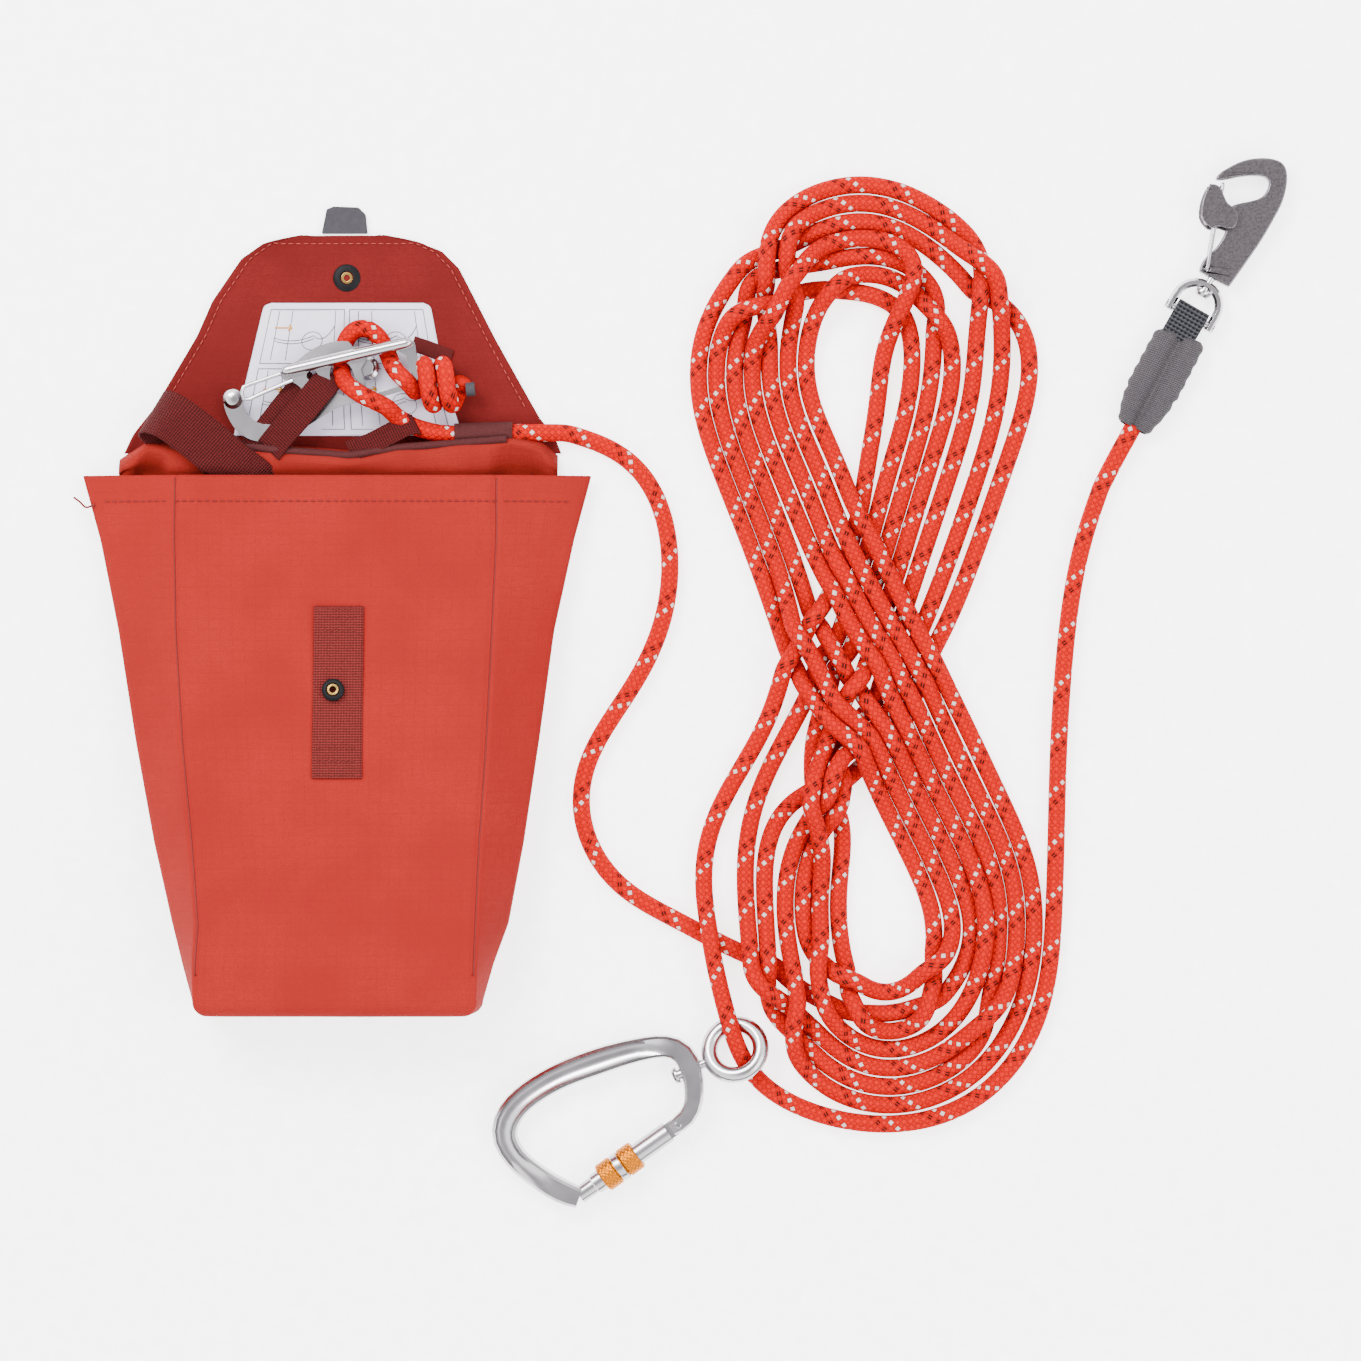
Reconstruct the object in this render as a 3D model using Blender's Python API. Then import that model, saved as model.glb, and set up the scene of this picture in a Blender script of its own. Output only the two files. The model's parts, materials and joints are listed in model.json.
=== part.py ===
"""A rope hitching kit: a dynamic kernmantle rope in a lying stuff sack, flaked into a figure of eight.

The rope leaves the sack through a webbing keeper, runs into the flaked coil, comes out through the eye of a
swivel carabiner and ends in a sewn sleeve with a swivel clip. Its other end passes through a hooked tensioner
and stops in a knot. Sizes are in millimetres here and in metres in the mesh. +Z is up and the floor is z = 0.
"""

import math

import bmesh
import bpy
from mathutils import Matrix, Vector
from mathutils.geometry import tessellate_polygon

MM = 0.001
GAP = 0.3  # between neighbouring solids

# Driving dimensions, in millimetres
ROPE_RADIUS = 4.55
COIL_HEIGHT = 20.0
WEBBING = 1.6  # thickness of flat webbing
FABRIC = 1.5  # thickness of the sack's cloth with its hems

FLAP_HINGE = (-176.0, 133.0, 1.5)
TENSIONER_HINGE = (-176.0, 119.0, 6.0)
YOKE_FRONT_Y = 118.3
FLAP_TOP = 1.8
LABEL_TOP = 2.5

TENSIONER_AT = (-175.5, 156.8)
TENSIONER_TURN = math.radians(16.5)
TENSIONER_TILT = math.radians(4.0)
PLATE_LOW, PLATE_HIGH = 12.6, 15.6
BAR_HIGH = 18.0  # the middle of the round bar along its edge

CARABINER_FAR_END = (-90.0, 0.0, 6.3)
CARABINER_TILT = math.radians(2.48)
PIN_BAR = (5.6, -201.2)  # where the swivel shank goes through the carabiner's end bar
RING_AT = (28.3, -190.9)
RING_RADIUS, RING_TUBE = 13.6, 4.3
RING_TILT = math.radians(22.0)
GATE_HINGE = (-1.1, -229.8)
GATE_HEADING = (-0.810, -0.586)
GATE_LENGTH = 53.2
GATE_RADIUS = 5.5
SLEEVE_CENTRE, SLEEVE_HALF = 37.3, 11.0
CHANNEL_DEPTH = 0.21  # of the bar's thickness, on each face

CLIP_MID_Z = 7.0
BAIL_PIN_AT = (264.2, 189.3)
CLIP_HEADING = math.radians(60.0)
CLIP_GATE_HINGE = (272.5, 213.3)

# Routes of the rope where it isn't coiled: hand-chosen points, x, y and z
BAG_LEAD = [
    (-137.0, 131.0, 9.4), (-125.0, 128.4, 8.6), (-101.7, 128.2, 8.4), (-84.0, 128.3, 8.2),
    (-71.0, 128.4, 7.2), (-58.0, 128.2, 5.4), (-43.9, 125.6, 4.65), (-31.5, 120.6, 4.65),
    (-20.5, 112.6, 4.65), (-9.6, 93.9, 4.65), (-4.4, 67.9, 4.65), (-5.5, 41.9, 4.65),
    (-13.3, 15.9, 4.65), (-28.9, -10.1, 4.65), (-44.5, -30.9, 4.65), (-53.4, -51.7, 4.65),
    (-53.3, -72.5, 4.65), (-45.0, -93.3, 4.65), (-29.5, -111.0, 4.65), (-10.7, -120.0, 4.65),
    (2.6, -122.6, 4.65),
]
CLIP_LEAD = [
    (14.6, -138.6, 5.5), (16.9, -148.5, 7.2), (20.2, -160.0, 12.0), (23.4, -170.5, 16.4),
    (25.6, -178.2, 17.4), (27.1, -184.8, 14.9), (28.5, -191.2, 10.9), (30.4, -197.8, 6.7),
    (34.0, -204.8, 4.8), (40.5, -211.3, 4.65), (52.0, -218.3, 4.65), (75.0, -227.3, 4.65),
    (104.8, -231.6, 4.65), (134.9, -227.8, 4.65), (156.5, -217.0, 4.65), (173.4, -200.4, 4.65),
    (185.6, -178.6, 4.65), (192.2, -147.9, 4.65), (194.6, -97.5, 4.65), (196.3, -29.9, 4.65),
    (201.0, 31.5, 4.65), (207.2, 67.9, 4.65), (215.5, 93.9, 4.65), (225.6, 114.7, 5.2),
    (233.9, 130.4, 6.4),
]
# The rope's inner end, in the tensioner's own frame: under the plate, over it and into the knot
INNER_END = [
    (27.5, -26.0, 15.4), (20.0, -21.6, 19.4), (13.0, -16.0, 21.6), (8.0, -10.9, 22.3), (4.4, -6.4, 20.2),
    (1.6, -1.0, 13.6), (1.8, 4.6, 8.6), (4.0, 11.6, 7.4), (8.0, 18.5, 7.6), (14.0, 22.5, 7.6),
    (20.5, 21.3, 7.6), (25.0, 15.6, 7.6), (26.6, 8.6, 7.4), (27.2, 3.6, 7.9), (28.0, -1.2, 11.6),
    (29.4, -5.4, 16.8), (32.0, -9.4, 20.4), (36.6, -11.6, 20.7),
]

# The flaked coil's outer shape and its two eyes
COIL_OUTLINE = [
    (99.1, 267.5), (115.7, 262.3), (131.8, 253.0), (148.5, 240.5), (166.1, 229.1), (176.5, 217.6),
    (184.9, 197.9), (189.0, 174.5), (188.0, 150.0), (181.7, 125.1), (171.3, 93.9), (159.9, 57.5),
    (148.5, 21.1), (146.4, 0.3), (158.3, -30.9), (170.3, -62.1), (179.7, -93.3), (183.8, -119.3),
    (183.8, -145.3), (178.6, -170.3), (166.1, -193.2), (145.3, -210.9), (124.5, -218.1), (103.7, -220.7),
    (82.9, -216.6), (62.1, -206.7), (50.5, -191.0), (40.5, -172.0), (31.0, -153.1), (26.5, -132.9),
    (8.6, -132.9), (7.6, -116.7), (3.4, -101.1), (9.6, -80.3), (19.5, -54.3), (33.5, -28.3),
    (41.3, -4.9), (33.5, 15.9), (24.7, 41.9), (21.6, 62.7), (13.3, 93.9), (4.9, 122.5), (3.4, 151.1),
    (8.6, 179.7), (16.9, 205.7), (27.3, 229.1), (39.3, 247.3), (56.9, 258.2), (77.7, 264.4),
]
COIL_UPPER_EYE = [
    (66.3, 177.6), (72.5, 191.1), (86.1, 199.4), (99.1, 202.5), (104.3, 184.3),
    (102.7, 164.6), (94.4, 129.7), (84.5, 106.3), (74.1, 129.7), (66.8, 157.8),
]
COIL_LOWER_EYE = [
    (102.2, -75.1), (80.9, -104.3), (78.3, -127.7), (84.5, -149.5), (104.8, -171.9),
    (126.6, -163.0), (136.0, -147.9), (136.5, -127.7), (134.9, -108.9), (118.3, -92.3),
]

# The sack's cross-sections: y, centre x, half width at the gusset's fold, half width of the front panel,
# height of the front panel, height of the gusset's fold, half width of the back panel
SACK_SECTIONS = [
    (-170.0, -176.0, 70.0, 67.0, 54.0, 27.0, 68.0),
    (-163.5, -175.9, 74.1, 71.3, 59.0, 31.0, 72.0),
    (-145.3, -175.9, 79.5, 71.3, 58.0, 30.0, 77.0),
    (-124.5, -174.8, 86.1, 71.0, 55.0, 28.0, 83.0),
    (-83.0, -175.8, 94.9, 73.7, 49.0, 25.0, 91.0),
    (-31.0, -177.0, 103.9, 78.2, 41.0, 20.0, 99.0),
    (26.0, -177.9, 112.6, 81.7, 32.0, 15.0, 107.0),
    (73.0, -177.7, 122.7, 83.4, 24.0, 11.0, 116.0),
    (106.0, -177.9, 131.9, 83.4, 20.0, 9.0, 124.0),
]
SACK_CROWN = 1.5
SACK_MOUTH_BACK_Y = 118.0

COLOURS = {
    "rope": ((0.83, 0.06, 0.03), 0.75, 0.0),
    "cloth": ((0.55, 0.09, 0.05), 0.85, 0.0),
    "webbing": ((0.12, 0.02, 0.02), 0.80, 0.0),
    "grey_rubber": ((0.13, 0.14, 0.14), 0.60, 0.0),
    "grey_cloth": ((0.12, 0.11, 0.12), 0.90, 0.0),
    "black_webbing": ((0.03, 0.03, 0.035), 0.80, 0.0),
    "black_plastic": ((0.02, 0.02, 0.02), 0.45, 0.0),
    "paper": ((0.80, 0.80, 0.86), 0.60, 0.0),
    "brass": ((0.60, 0.40, 0.12), 0.35, 1.0),
    "aluminium": ((0.60, 0.61, 0.63), 0.25, 1.0),
    "steel": ((0.50, 0.50, 0.52), 0.30, 1.0),
    "dark_metal": ((0.28, 0.28, 0.29), 0.40, 1.0),
    "gold_anodised": ((0.80, 0.36, 0.04), 0.35, 1.0),
}


def clear_scene():
    for ob in list(bpy.data.objects):
        bpy.data.objects.remove(ob)


def material(name):
    """The named Principled material, made once."""
    found = bpy.data.materials.get(name)
    if found:
        return found
    colour, roughness, metallic = COLOURS[name]
    made = bpy.data.materials.new(name)
    made.use_nodes = True
    shader = made.node_tree.nodes["Principled BSDF"]
    shader.inputs["Base Color"].default_value = (*colour, 1.0)
    shader.inputs["Roughness"].default_value = roughness
    shader.inputs["Metallic"].default_value = metallic
    return made


def joint_empty(name, at):
    """An empty on a joint's axis, which the moving pieces hang from."""
    empty = bpy.data.objects.new(name, None)
    empty.empty_display_size = 0.02
    empty.location = Vector(at) * MM
    bpy.context.collection.objects.link(empty)
    return empty


def place(ob, frame=None, parent=None):
    """Links an object, lays it in a frame given in metres, and hangs it from an empty."""
    bpy.context.collection.objects.link(ob)
    if parent:
        ob.parent = parent
        ob.matrix_parent_inverse = Matrix.Translation(parent.location).inverted()
    ob.matrix_basis = frame if frame else Matrix()
    return ob


def from_bmesh(name, bm, finish, frame=None, parent=None):
    """An object from a bmesh in millimetres, with its faces turned outwards."""
    bmesh.ops.scale(bm, vec=(MM, MM, MM), verts=bm.verts)
    bmesh.ops.recalc_face_normals(bm, faces=bm.faces)
    if bm.calc_volume(signed=True) < 0:
        bmesh.ops.reverse_faces(bm, faces=bm.faces)
    mesh = bpy.data.meshes.new(name)
    bm.to_mesh(mesh)
    bm.free()
    mesh.materials.append(material(finish))
    mesh.shade_smooth()
    mesh.set_sharp_from_angle(angle=math.radians(35))
    return place(bpy.data.objects.new(name, mesh), frame, parent)


def skin(bm, rings, closed=False):
    """Faces between rings of points, with flat caps unless the rings close on each other."""
    made = [[bm.verts.new(p) for p in ring] for ring in rings]
    pairs = list(zip(made, made[1:]))
    if closed:
        pairs.append((made[-1], made[0]))
    for a, b in pairs:
        for i in range(len(a)):
            j = (i + 1) % len(a)
            bm.faces.new((a[i], a[j], b[j], b[i]))
    if not closed:
        bm.faces.new(made[0])
        bm.faces.new(reversed(made[-1]))


def prism_into(bm, outline, low, high, holes=()):
    """An upright prism with holes, added to a bmesh."""
    loops = [[Vector((x, y, 0.0)) for x, y in loop] for loop in (outline, *holes)]
    triangles = tessellate_polygon(loops)
    flat = [p for loop in loops for p in loop]
    bottom = [bm.verts.new((p.x, p.y, low)) for p in flat]
    top = [bm.verts.new((p.x, p.y, high)) for p in flat]
    for a, b, c in triangles:
        bm.faces.new((bottom[a], bottom[b], bottom[c]))
        bm.faces.new((top[c], top[b], top[a]))
    start = 0
    for loop in loops:
        n = len(loop)
        for i in range(n):
            a, b = start + i, start + (i + 1) % n
            bm.faces.new((bottom[a], bottom[b], top[b], top[a]))
        start += n


def prism(name, outline, low, high, finish, holes=(), frame=None, parent=None):
    bm = bmesh.new()
    prism_into(bm, outline, low, high, holes)
    return from_bmesh(name, bm, finish, frame, parent)


def eased(a, b, c, d, t):
    """A point between b and c, on the Catmull-Rom curve through all four."""
    curve = (2 * a - 5 * b + 4 * c - d) * t**2 + (3 * b - a - 3 * c + d) * t**3
    return 0.5 * (2 * b + (c - a) * t + curve)


def smooth_loop(points, cuts=3):
    """A closed outline with rounded corners. A point that is given twice stays a corner."""
    count, fine = len(points), []
    for i in range(count):
        a, b, c, d = (Vector(points[(i + k) % count]) for k in (-1, 0, 1, 2))
        if (c - b).length > 1e-6:
            fine += [tuple(eased(a, b, c, d, k / cuts)) for k in range(cuts)]
    return fine


def smooth_route(points, step):
    """Points about one step apart along a Catmull-Rom curve through the given ones."""
    knots = [Vector(p) for p in points]
    knots = [knots[0] * 2 - knots[1], *knots, knots[-1] * 2 - knots[-2]]
    fine = []
    for a, b, c, d in zip(knots, knots[1:], knots[2:], knots[3:]):
        for k in range(16):
            fine.append(eased(a, b, c, d, k / 16))
    fine.append(knots[-2])
    run = [0.0]
    for a, b in zip(fine, fine[1:]):
        run.append(run[-1] + (b - a).length)
    count = max(2, round(run[-1] / step))
    route, k = [], 0
    for i in range(count + 1):
        at = run[-1] * i / count
        while k < len(run) - 2 and run[k + 1] < at:
            k += 1
        route.append(fine[k].lerp(fine[k + 1], (at - run[k]) / max(run[k + 1] - run[k], 1e-9)))
    return route


def tube(name, route, radius, finish, resolution=2, frame=None, parent=None):
    """A round cord or wire: a bevelled poly curve with filled caps."""
    curve = bpy.data.curves.new(name, "CURVE")
    curve.dimensions = "3D"
    curve.bevel_depth = radius * MM
    curve.bevel_resolution = resolution
    curve.use_fill_caps = True
    spline = curve.splines.new("POLY")
    spline.points.add(len(route) - 1)
    for point, at in zip(spline.points, route):
        point.co = (*(Vector(at) * MM), 1.0)
    curve.materials.append(material(finish))
    return place(bpy.data.objects.new(name, curve), frame, parent)


def strap(name, path, across, width, thickness, finish, frame=None, parent=None):
    """Flat webbing: a rectangle swept along a path, its width along one fixed direction."""
    points = [Vector(p) for p in path]
    side = Vector(across).normalized()
    rings = []
    for i, p in enumerate(points):
        along = (points[min(i + 1, len(points) - 1)] - points[max(i - 1, 0)]).normalized()
        normal = along.cross(side).normalized()
        w, h = side * width / 2, normal * thickness / 2
        rings.append([p - w - h, p + w - h, p + w + h, p - w + h])
    bm = bmesh.new()
    skin(bm, rings)
    return from_bmesh(name, bm, finish, frame, parent)


def turned_into(bm, profile, steps=24):
    """A solid of revolution about local Z. The profile is a closed loop of (radius, height) points."""
    poles = [bm.verts.new((0.0, 0.0, h)) if r == 0 else None for r, h in profile]
    rings = []
    for i in range(steps):
        a = 2 * math.pi * i / steps
        c, s = math.cos(a), math.sin(a)
        rings.append([pole or bm.verts.new((r * c, r * s, h)) for pole, (r, h) in zip(poles, profile)])
    n = len(profile)
    for a, b in zip(rings, rings[1:] + rings[:1]):
        for i in range(n):
            j = (i + 1) % n
            corners = list(dict.fromkeys((a[i], b[i], b[j], a[j])))
            if len(corners) > 2:
                bm.faces.new(corners)


def turned(name, profile, finish, steps=24, frame=None, parent=None):
    bm = bmesh.new()
    turned_into(bm, profile, steps)
    return from_bmesh(name, bm, finish, frame, parent)


def rod(radius, low, high):
    """The profile of a plain solid cylinder."""
    return [(0.0, low), (radius, low), (radius, high), (0.0, high)]


def pipe(inner, outer, low, high):
    """The profile of a plain hollow cylinder."""
    return [(inner, low), (outer, low), (outer, high), (inner, high)]


def axis_frame(at, direction):
    """A frame in metres whose Z runs along a direction."""
    turn = Vector((0, 0, 1)).rotation_difference(Vector(direction).normalized()).to_matrix().to_4x4()
    return Matrix.Translation(Vector(at) * MM) @ turn


def helper(name, bm, frame, parent=None):
    """A hidden mesh that a Boolean cuts or adds with."""
    ob = from_bmesh(name, bm, "steel", frame, parent)
    ob.hide_render = True
    ob.display_type = "WIRE"
    return ob


def boolean(ob, operation, other):
    mod = ob.modifiers.new(other.name, "BOOLEAN")
    mod.operation = operation
    mod.solver = "EXACT"
    mod.object = other


def cut_round(ob, name, at, direction, radius, low, high, parent=None, steps=20):
    bm = bmesh.new()
    turned_into(bm, rod(radius, low, high), steps)
    boolean(ob, "DIFFERENCE", helper(name, bm, axis_frame(at, direction), parent))


def ellipse(centre, a, b, steps=20):
    return [
        (centre[0] + a * math.cos(2 * math.pi * i / steps), centre[1] + b * math.sin(2 * math.pi * i / steps))
        for i in range(steps)
    ]


def oblong(centre, half_length, half_width, angle):
    """The corners of a slot with eased ends, its long side along an angle."""
    ease = half_width * 0.5
    corners = [
        (half_length, -half_width + ease), (half_length, half_width - ease),
        (half_length - ease, half_width), (-half_length + ease, half_width),
        (-half_length, half_width - ease), (-half_length, -half_width + ease),
        (-half_length + ease, -half_width), (half_length - ease, -half_width),
    ]
    c, s = math.cos(angle), math.sin(angle)
    return [(centre[0] + x * c - y * s, centre[1] + x * s + y * c) for x, y in corners]


# --- The sack -------------------------------------------------------------------------------------------


def sack_ring(section, inset, y=None, back_y=None):
    """One cross-section of the sack, moved inwards by an inset."""
    at, centre, fold, front, high, fold_high, back = section
    y = at if y is None else y
    back_y = y if back_y is None else back_y
    return [
        (centre - back + inset, back_y, inset),
        (centre - fold + inset * 1.4, y, fold_high),
        (centre - front + inset * 0.6, y, high - inset),
        (centre, y, high + SACK_CROWN - inset),
        (centre + front - inset * 0.6, y, high - inset),
        (centre + fold - inset * 1.4, y, fold_high),
        (centre + back - inset, back_y, inset),
    ]


def make_sack():
    """The body of the sack: one open shell that lies on its back panel, its mouth towards +Y."""
    mouth = SACK_SECTIONS[-1]
    outer = [sack_ring(s, 0.0) for s in SACK_SECTIONS[:-1]]
    outer.append(sack_ring(mouth, 0.0, back_y=SACK_MOUTH_BACK_Y))
    floor_y = SACK_SECTIONS[0][0] + FABRIC
    inner = [sack_ring(SACK_SECTIONS[0], FABRIC, y=floor_y)]
    inner += [sack_ring(s, FABRIC) for s in SACK_SECTIONS[1:-1]]
    inner += [sack_ring(mouth, FABRIC, back_y=SACK_MOUTH_BACK_Y)]
    bm = bmesh.new()
    skin(bm, outer + inner[::-1])
    return from_bmesh("sack_body", bm, "cloth")


def make_sack_trim():
    yoke = [(-285.0, YOKE_FRONT_Y), (-61.5, YOKE_FRONT_Y), (-72.3, 132.7), (-278.8, 132.7)]
    prism("flap_yoke", yoke, 0.0, FLAP_TOP, "cloth")
    binding = [
        (-221.0, 120.6, 4.6), (-196.0, 120.9, 4.6), (-172.0, 120.6, 4.6), (-146.0, 120.8, 4.6),
        (-132.0, 121.0, 4.6),
    ]
    tube("mouth_binding", smooth_route(binding, 8.0), 2.2, "webbing")
    haul = [
        (-222.0, 101.0, 8.0), (-229.0, 109.0, 10.5), (-239.0, 117.0, 15.5), (-250.0, 121.5, 17.0),
        (-262.0, 122.0, 14.0), (-273.0, 117.5, 9.0), (-281.0, 109.0, 8.2),
    ]
    strap("haul_strap", smooth_route(haul, 7.0), (0.755, 0.656, 0.0), 21.0, WEBBING, "webbing")


def sack_front_height(y):
    """Height of the middle of the front panel at y."""
    for a, b in zip(SACK_SECTIONS, SACK_SECTIONS[1:]):
        if a[0] <= y <= b[0]:
            t = (y - a[0]) / (b[0] - a[0])
            return a[4] + (b[4] - a[4]) * t + SACK_CROWN
    return SACK_SECTIONS[-1][4] + SACK_CROWN


def make_front_strap():
    """The webbing strip on the front panel, and the snap's stud on it."""
    lift = GAP + WEBBING / 2
    path = [(-177.6, y, sack_front_height(y) + lift) for y in (37.7, 26.0, -3.0, -31.0, -50.2)]
    strap("front_webbing_strip", path, (1, 0, 0), 26.0, WEBBING, "webbing")
    stud_y = -4.9
    slope = Vector((0.0, -57.0, 9.0)).normalized()
    normal = slope.cross(Vector((-1, 0, 0)))
    if normal.z < 0:
        normal = -normal
    base = (-177.6, stud_y, sack_front_height(stud_y) + lift + WEBBING / 2 + GAP)
    frame = axis_frame(base, normal)
    turned("snap_stud", [(3.4, 0), (5.8, 0), (5.8, 1.2), (4.6, 2.0), (3.4, 2.0)], "black_plastic", 20, frame)
    turned("snap_stud_eyelet", [(1.6, 0), (3.1, 0), (3.1, 2.6), (2.3, 3.0), (1.6, 2.6)], "brass", 16, frame)


def make_keeper():
    """The sewn webbing sleeve that holds the rope at the mouth, and its anchor tab."""
    frame = axis_frame((-115.2, 128.3, 8.4), (1, 0, 0))
    turned("rope_keeper", pipe(ROPE_RADIUS + 0.45, ROPE_RADIUS + 1.5, 0.0, 27.0), "webbing", 16, frame)
    tab = [(-166.0, 126.2, 3.0), (-158.0, 126.6, 3.2), (-150.0, 127.0, 3.6), (-141.0, 127.6, 3.4)]
    strap("keeper_anchor_tab", tab, (0, 1, 0), 6.0, WEBBING, "webbing")


# --- The flap -------------------------------------------------------------------------------------------


def make_flap(axis):
    outline = [
        (-278.6, 133.3), (-274.8, 141.7), (-251.4, 179.1), (-243.1, 197.3), (-226.5, 219.7),
        (-217.1, 227.0),
        (-187.5, 231.7), (-161.5, 231.7), (-139.1, 228.0), (-124.5, 223.3), (-115.2, 214.0), (-96.5, 177.1),
        (-74.1, 136.0), (-72.5, 133.3),
    ]
    prism("sack_flap", outline, GAP, FLAP_TOP, "cloth", parent=axis)
    tab = [
        (-186.4, 232.1), (-183.8, 244.7), (-180.2, 246.2), (-167.2, 245.7), (-163.5, 242.1),
        (-162.5, 232.1),
    ]
    prism("flap_pull_tab", tab, 0.4, 3.4, "grey_rubber", parent=axis)
    label = [(-215.5, 196.8), (-129.7, 199.4), (-113.5, 134.3), (-231.5, 134.3), (-226.5, 154.7)]
    prism("instruction_label", label, FLAP_TOP + GAP, LABEL_TOP, "paper", parent=axis)
    frame = axis_frame((-173.2, 209.0, FLAP_TOP + GAP), (0, 0, 1))
    socket = [(3.4, 0), (7.2, 0), (7.2, 1.6), (5.6, 2.4), (3.4, 2.4)]
    turned("snap_socket", socket, "black_plastic", 20, frame, axis)
    turned("snap_socket_eyelet", [(1.6, 0), (3.1, 0), (3.1, 1.9), (1.6, 1.9)], "brass", 16, frame, axis)


# --- The tensioner --------------------------------------------------------------------------------------


def tensioner_frame_matrix():
    at = Matrix.Translation(Vector((*TENSIONER_AT, 0.0)) * MM)
    return at @ Matrix.Rotation(TENSIONER_TURN, 4, "Z") @ Matrix.Rotation(-TENSIONER_TILT, 4, "Y")


def make_tensioner(axis):
    """A flat hooked plate with a stiffening flange, a bollard under it and a wire gate over its hook."""
    local = tensioner_frame_matrix()
    outline = [
        (-55.0, 9.0), (-59.5, 7.5), (-61.5, 2.0), (-60.0, -8.0), (-55.0, -16.0), (-47.0, -20.5),
        (-36.0, -22.0),
        (-20.0, -18.5), (-5.0, -14.5), (12.0, -15.6), (34.0, -15.6), (40.0, -10.5), (42.0, 0.0),
        (40.5, 8.5),
        (14.0, 12.0), (10.0, 16.4), (0.7, 18.8), (-10.0, 17.8), (-19.0, 14.3), (-27.0, 13.0), (-28.5, 8.0),
        (-22.0, 3.0), (-19.5, -4.0), (-24.0, -10.5), (-35.0, -13.5), (-45.0, -11.5), (-51.0, -5.0),
        (-52.0, 4.0),
    ]
    slot = oblong((-11.0, 0.5), 7.6, 2.8, math.radians(-66.5))
    hole = ellipse((1.8, -0.8), 6.4, 9.6)
    window = oblong((24.4, -3.8), 12.2, 9.5, 0.0)
    plate = prism(
        "tensioner_plate", smooth_loop(outline), PLATE_LOW, PLATE_HIGH, "aluminium", (slot, hole, window), local, axis
    )
    bar = bmesh.new()
    length = 69.6
    turned_into(bar, [
        (0, 0), (1.5, 0.3), (2.4, 1.3), (2.8, 3.2), (3.0, 0.5 * length), (2.8, length - 3.2), (2.4, length - 1.3),
        (1.5, length - 0.3), (0, length),
    ], 20)
    bar_at = local @ axis_frame((-27.4, 11.3, BAR_HIGH), (68.8, -4.6, 0.0))
    boolean(plate, "UNION", helper("bar_shape", bar, bar_at, axis))
    nose = bmesh.new()
    turned_into(nose, [(0, -2.6), (4.4, -2.2), (5.6, 0), (5.2, 3.4), (3.2, 5.6), (0, 6.4)], 16)
    nose_at = local @ Matrix.Translation(Vector((-56.0, 5.2, PLATE_LOW)) * MM)
    boolean(plate, "UNION", helper("hook_nose_shape", nose, nose_at, axis))

    drum_at = local @ Matrix.Translation(Vector((14.2, 1.4, 0.0)) * MM)
    drum = [(0, 4.2), (6.4, 4.2), (6.4, 5.4), (4.4, 6.2), (4.4, PLATE_LOW - GAP), (0, PLATE_LOW - GAP)]
    turned("tensioner_bollard", drum, "steel", 20, drum_at, axis)

    gate = [
        (-24.6, 10.0, PLATE_HIGH + 1.6), (-28.0, 10.6, PLATE_HIGH + 1.9), (-40.0, 10.0, PLATE_HIGH + 2.2),
        (-49.0, 9.2, PLATE_HIGH + 3.2), (-50.4, 6.0, PLATE_HIGH + 3.2), (-49.4, 2.6, PLATE_HIGH + 2.6),
        (-40.0, 3.6, PLATE_HIGH + 2.0), (-30.0, 4.8, PLATE_HIGH + 1.7), (-23.0, 5.4, PLATE_HIGH + 1.6),
    ]
    return local, gate


def make_tensioner_gate(local, gate, axis):
    tube("tensioner_wire_gate", smooth_route(gate[1:], 3.5), 1.1, "steel", 2, local, axis)


def make_tensioner_soft(local, axis):
    """What hangs on the tensioner: its webbing loop, the rope's inner end and the stopper knot."""
    heading = Vector((-0.917, -0.399, 0.0))
    start = Vector((-11.0, 0.5, 0.0))
    loop = [
        (20.0, 8.6), (12.0, 9.8), (5.0, 10.2), (1.2, 11.4), (0.0, 14.1), (1.2, 17.4), (6.0, 18.4),
        (13.0, 18.6),
        (21.0, 17.6),
    ]
    path = [start + heading * run + Vector((0, 0, high)) for run, high in loop]
    strap("tensioner_webbing_loop", path, (0.399, -0.917, 0.0), 13.5, WEBBING, "webbing", local, axis)
    tube("rope_inner_end", smooth_route(INNER_END, 5.0), ROPE_RADIUS, "rope", 2, local, axis)
    knot = bmesh.new()
    outline = [(0, -15.5), (6.5, -13.6), (10.4, -7.5), (11.4, 0), (10.4, 7.5), (6.5, 13.6), (0, 15.5)]
    turned_into(knot, outline, 16)
    knot_at = axis_frame((-123.5, 147.6, 15.2), (0.12, 1.0, 0.0)) @ Matrix.Diagonal((0.85, 1.0, 1.0, 1.0))
    from_bmesh("stopper_knot", knot, "rope", knot_at, axis)
    cap_at = axis_frame((-110.9, 150.3, 15.0), (1, 0.1, 0.0))
    turned("rope_end_cap", rod(3.6, 0.0, 4.6), "grey_rubber", 16, cap_at, axis)
    tail = [(-139.0, 175.0, 3.9), (-130.0, 172.0, 3.9), (-119.0, 167.6, 3.9)]
    strap("tensioner_tail_tab", tail, (0.3, 0.95, 0.0), 8.0, WEBBING, "webbing", parent=axis)


# --- The swivel ring and the carabiner ------------------------------------------------------------------


def carabiner_frame():
    """The carabiner's mid plane: it lies on its far end and rises towards the ring."""
    far = Vector(CARABINER_FAR_END) * MM
    back = Matrix.Translation(Vector((-far.x, -far.y, 0.0)))
    return Matrix.Translation(far) @ Matrix.Rotation(-CARABINER_TILT, 4, "Y") @ back


def in_frame(frame, at):
    """A point of a frame, in millimetres."""
    return (frame @ (Vector(at) * MM)) / MM


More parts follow.
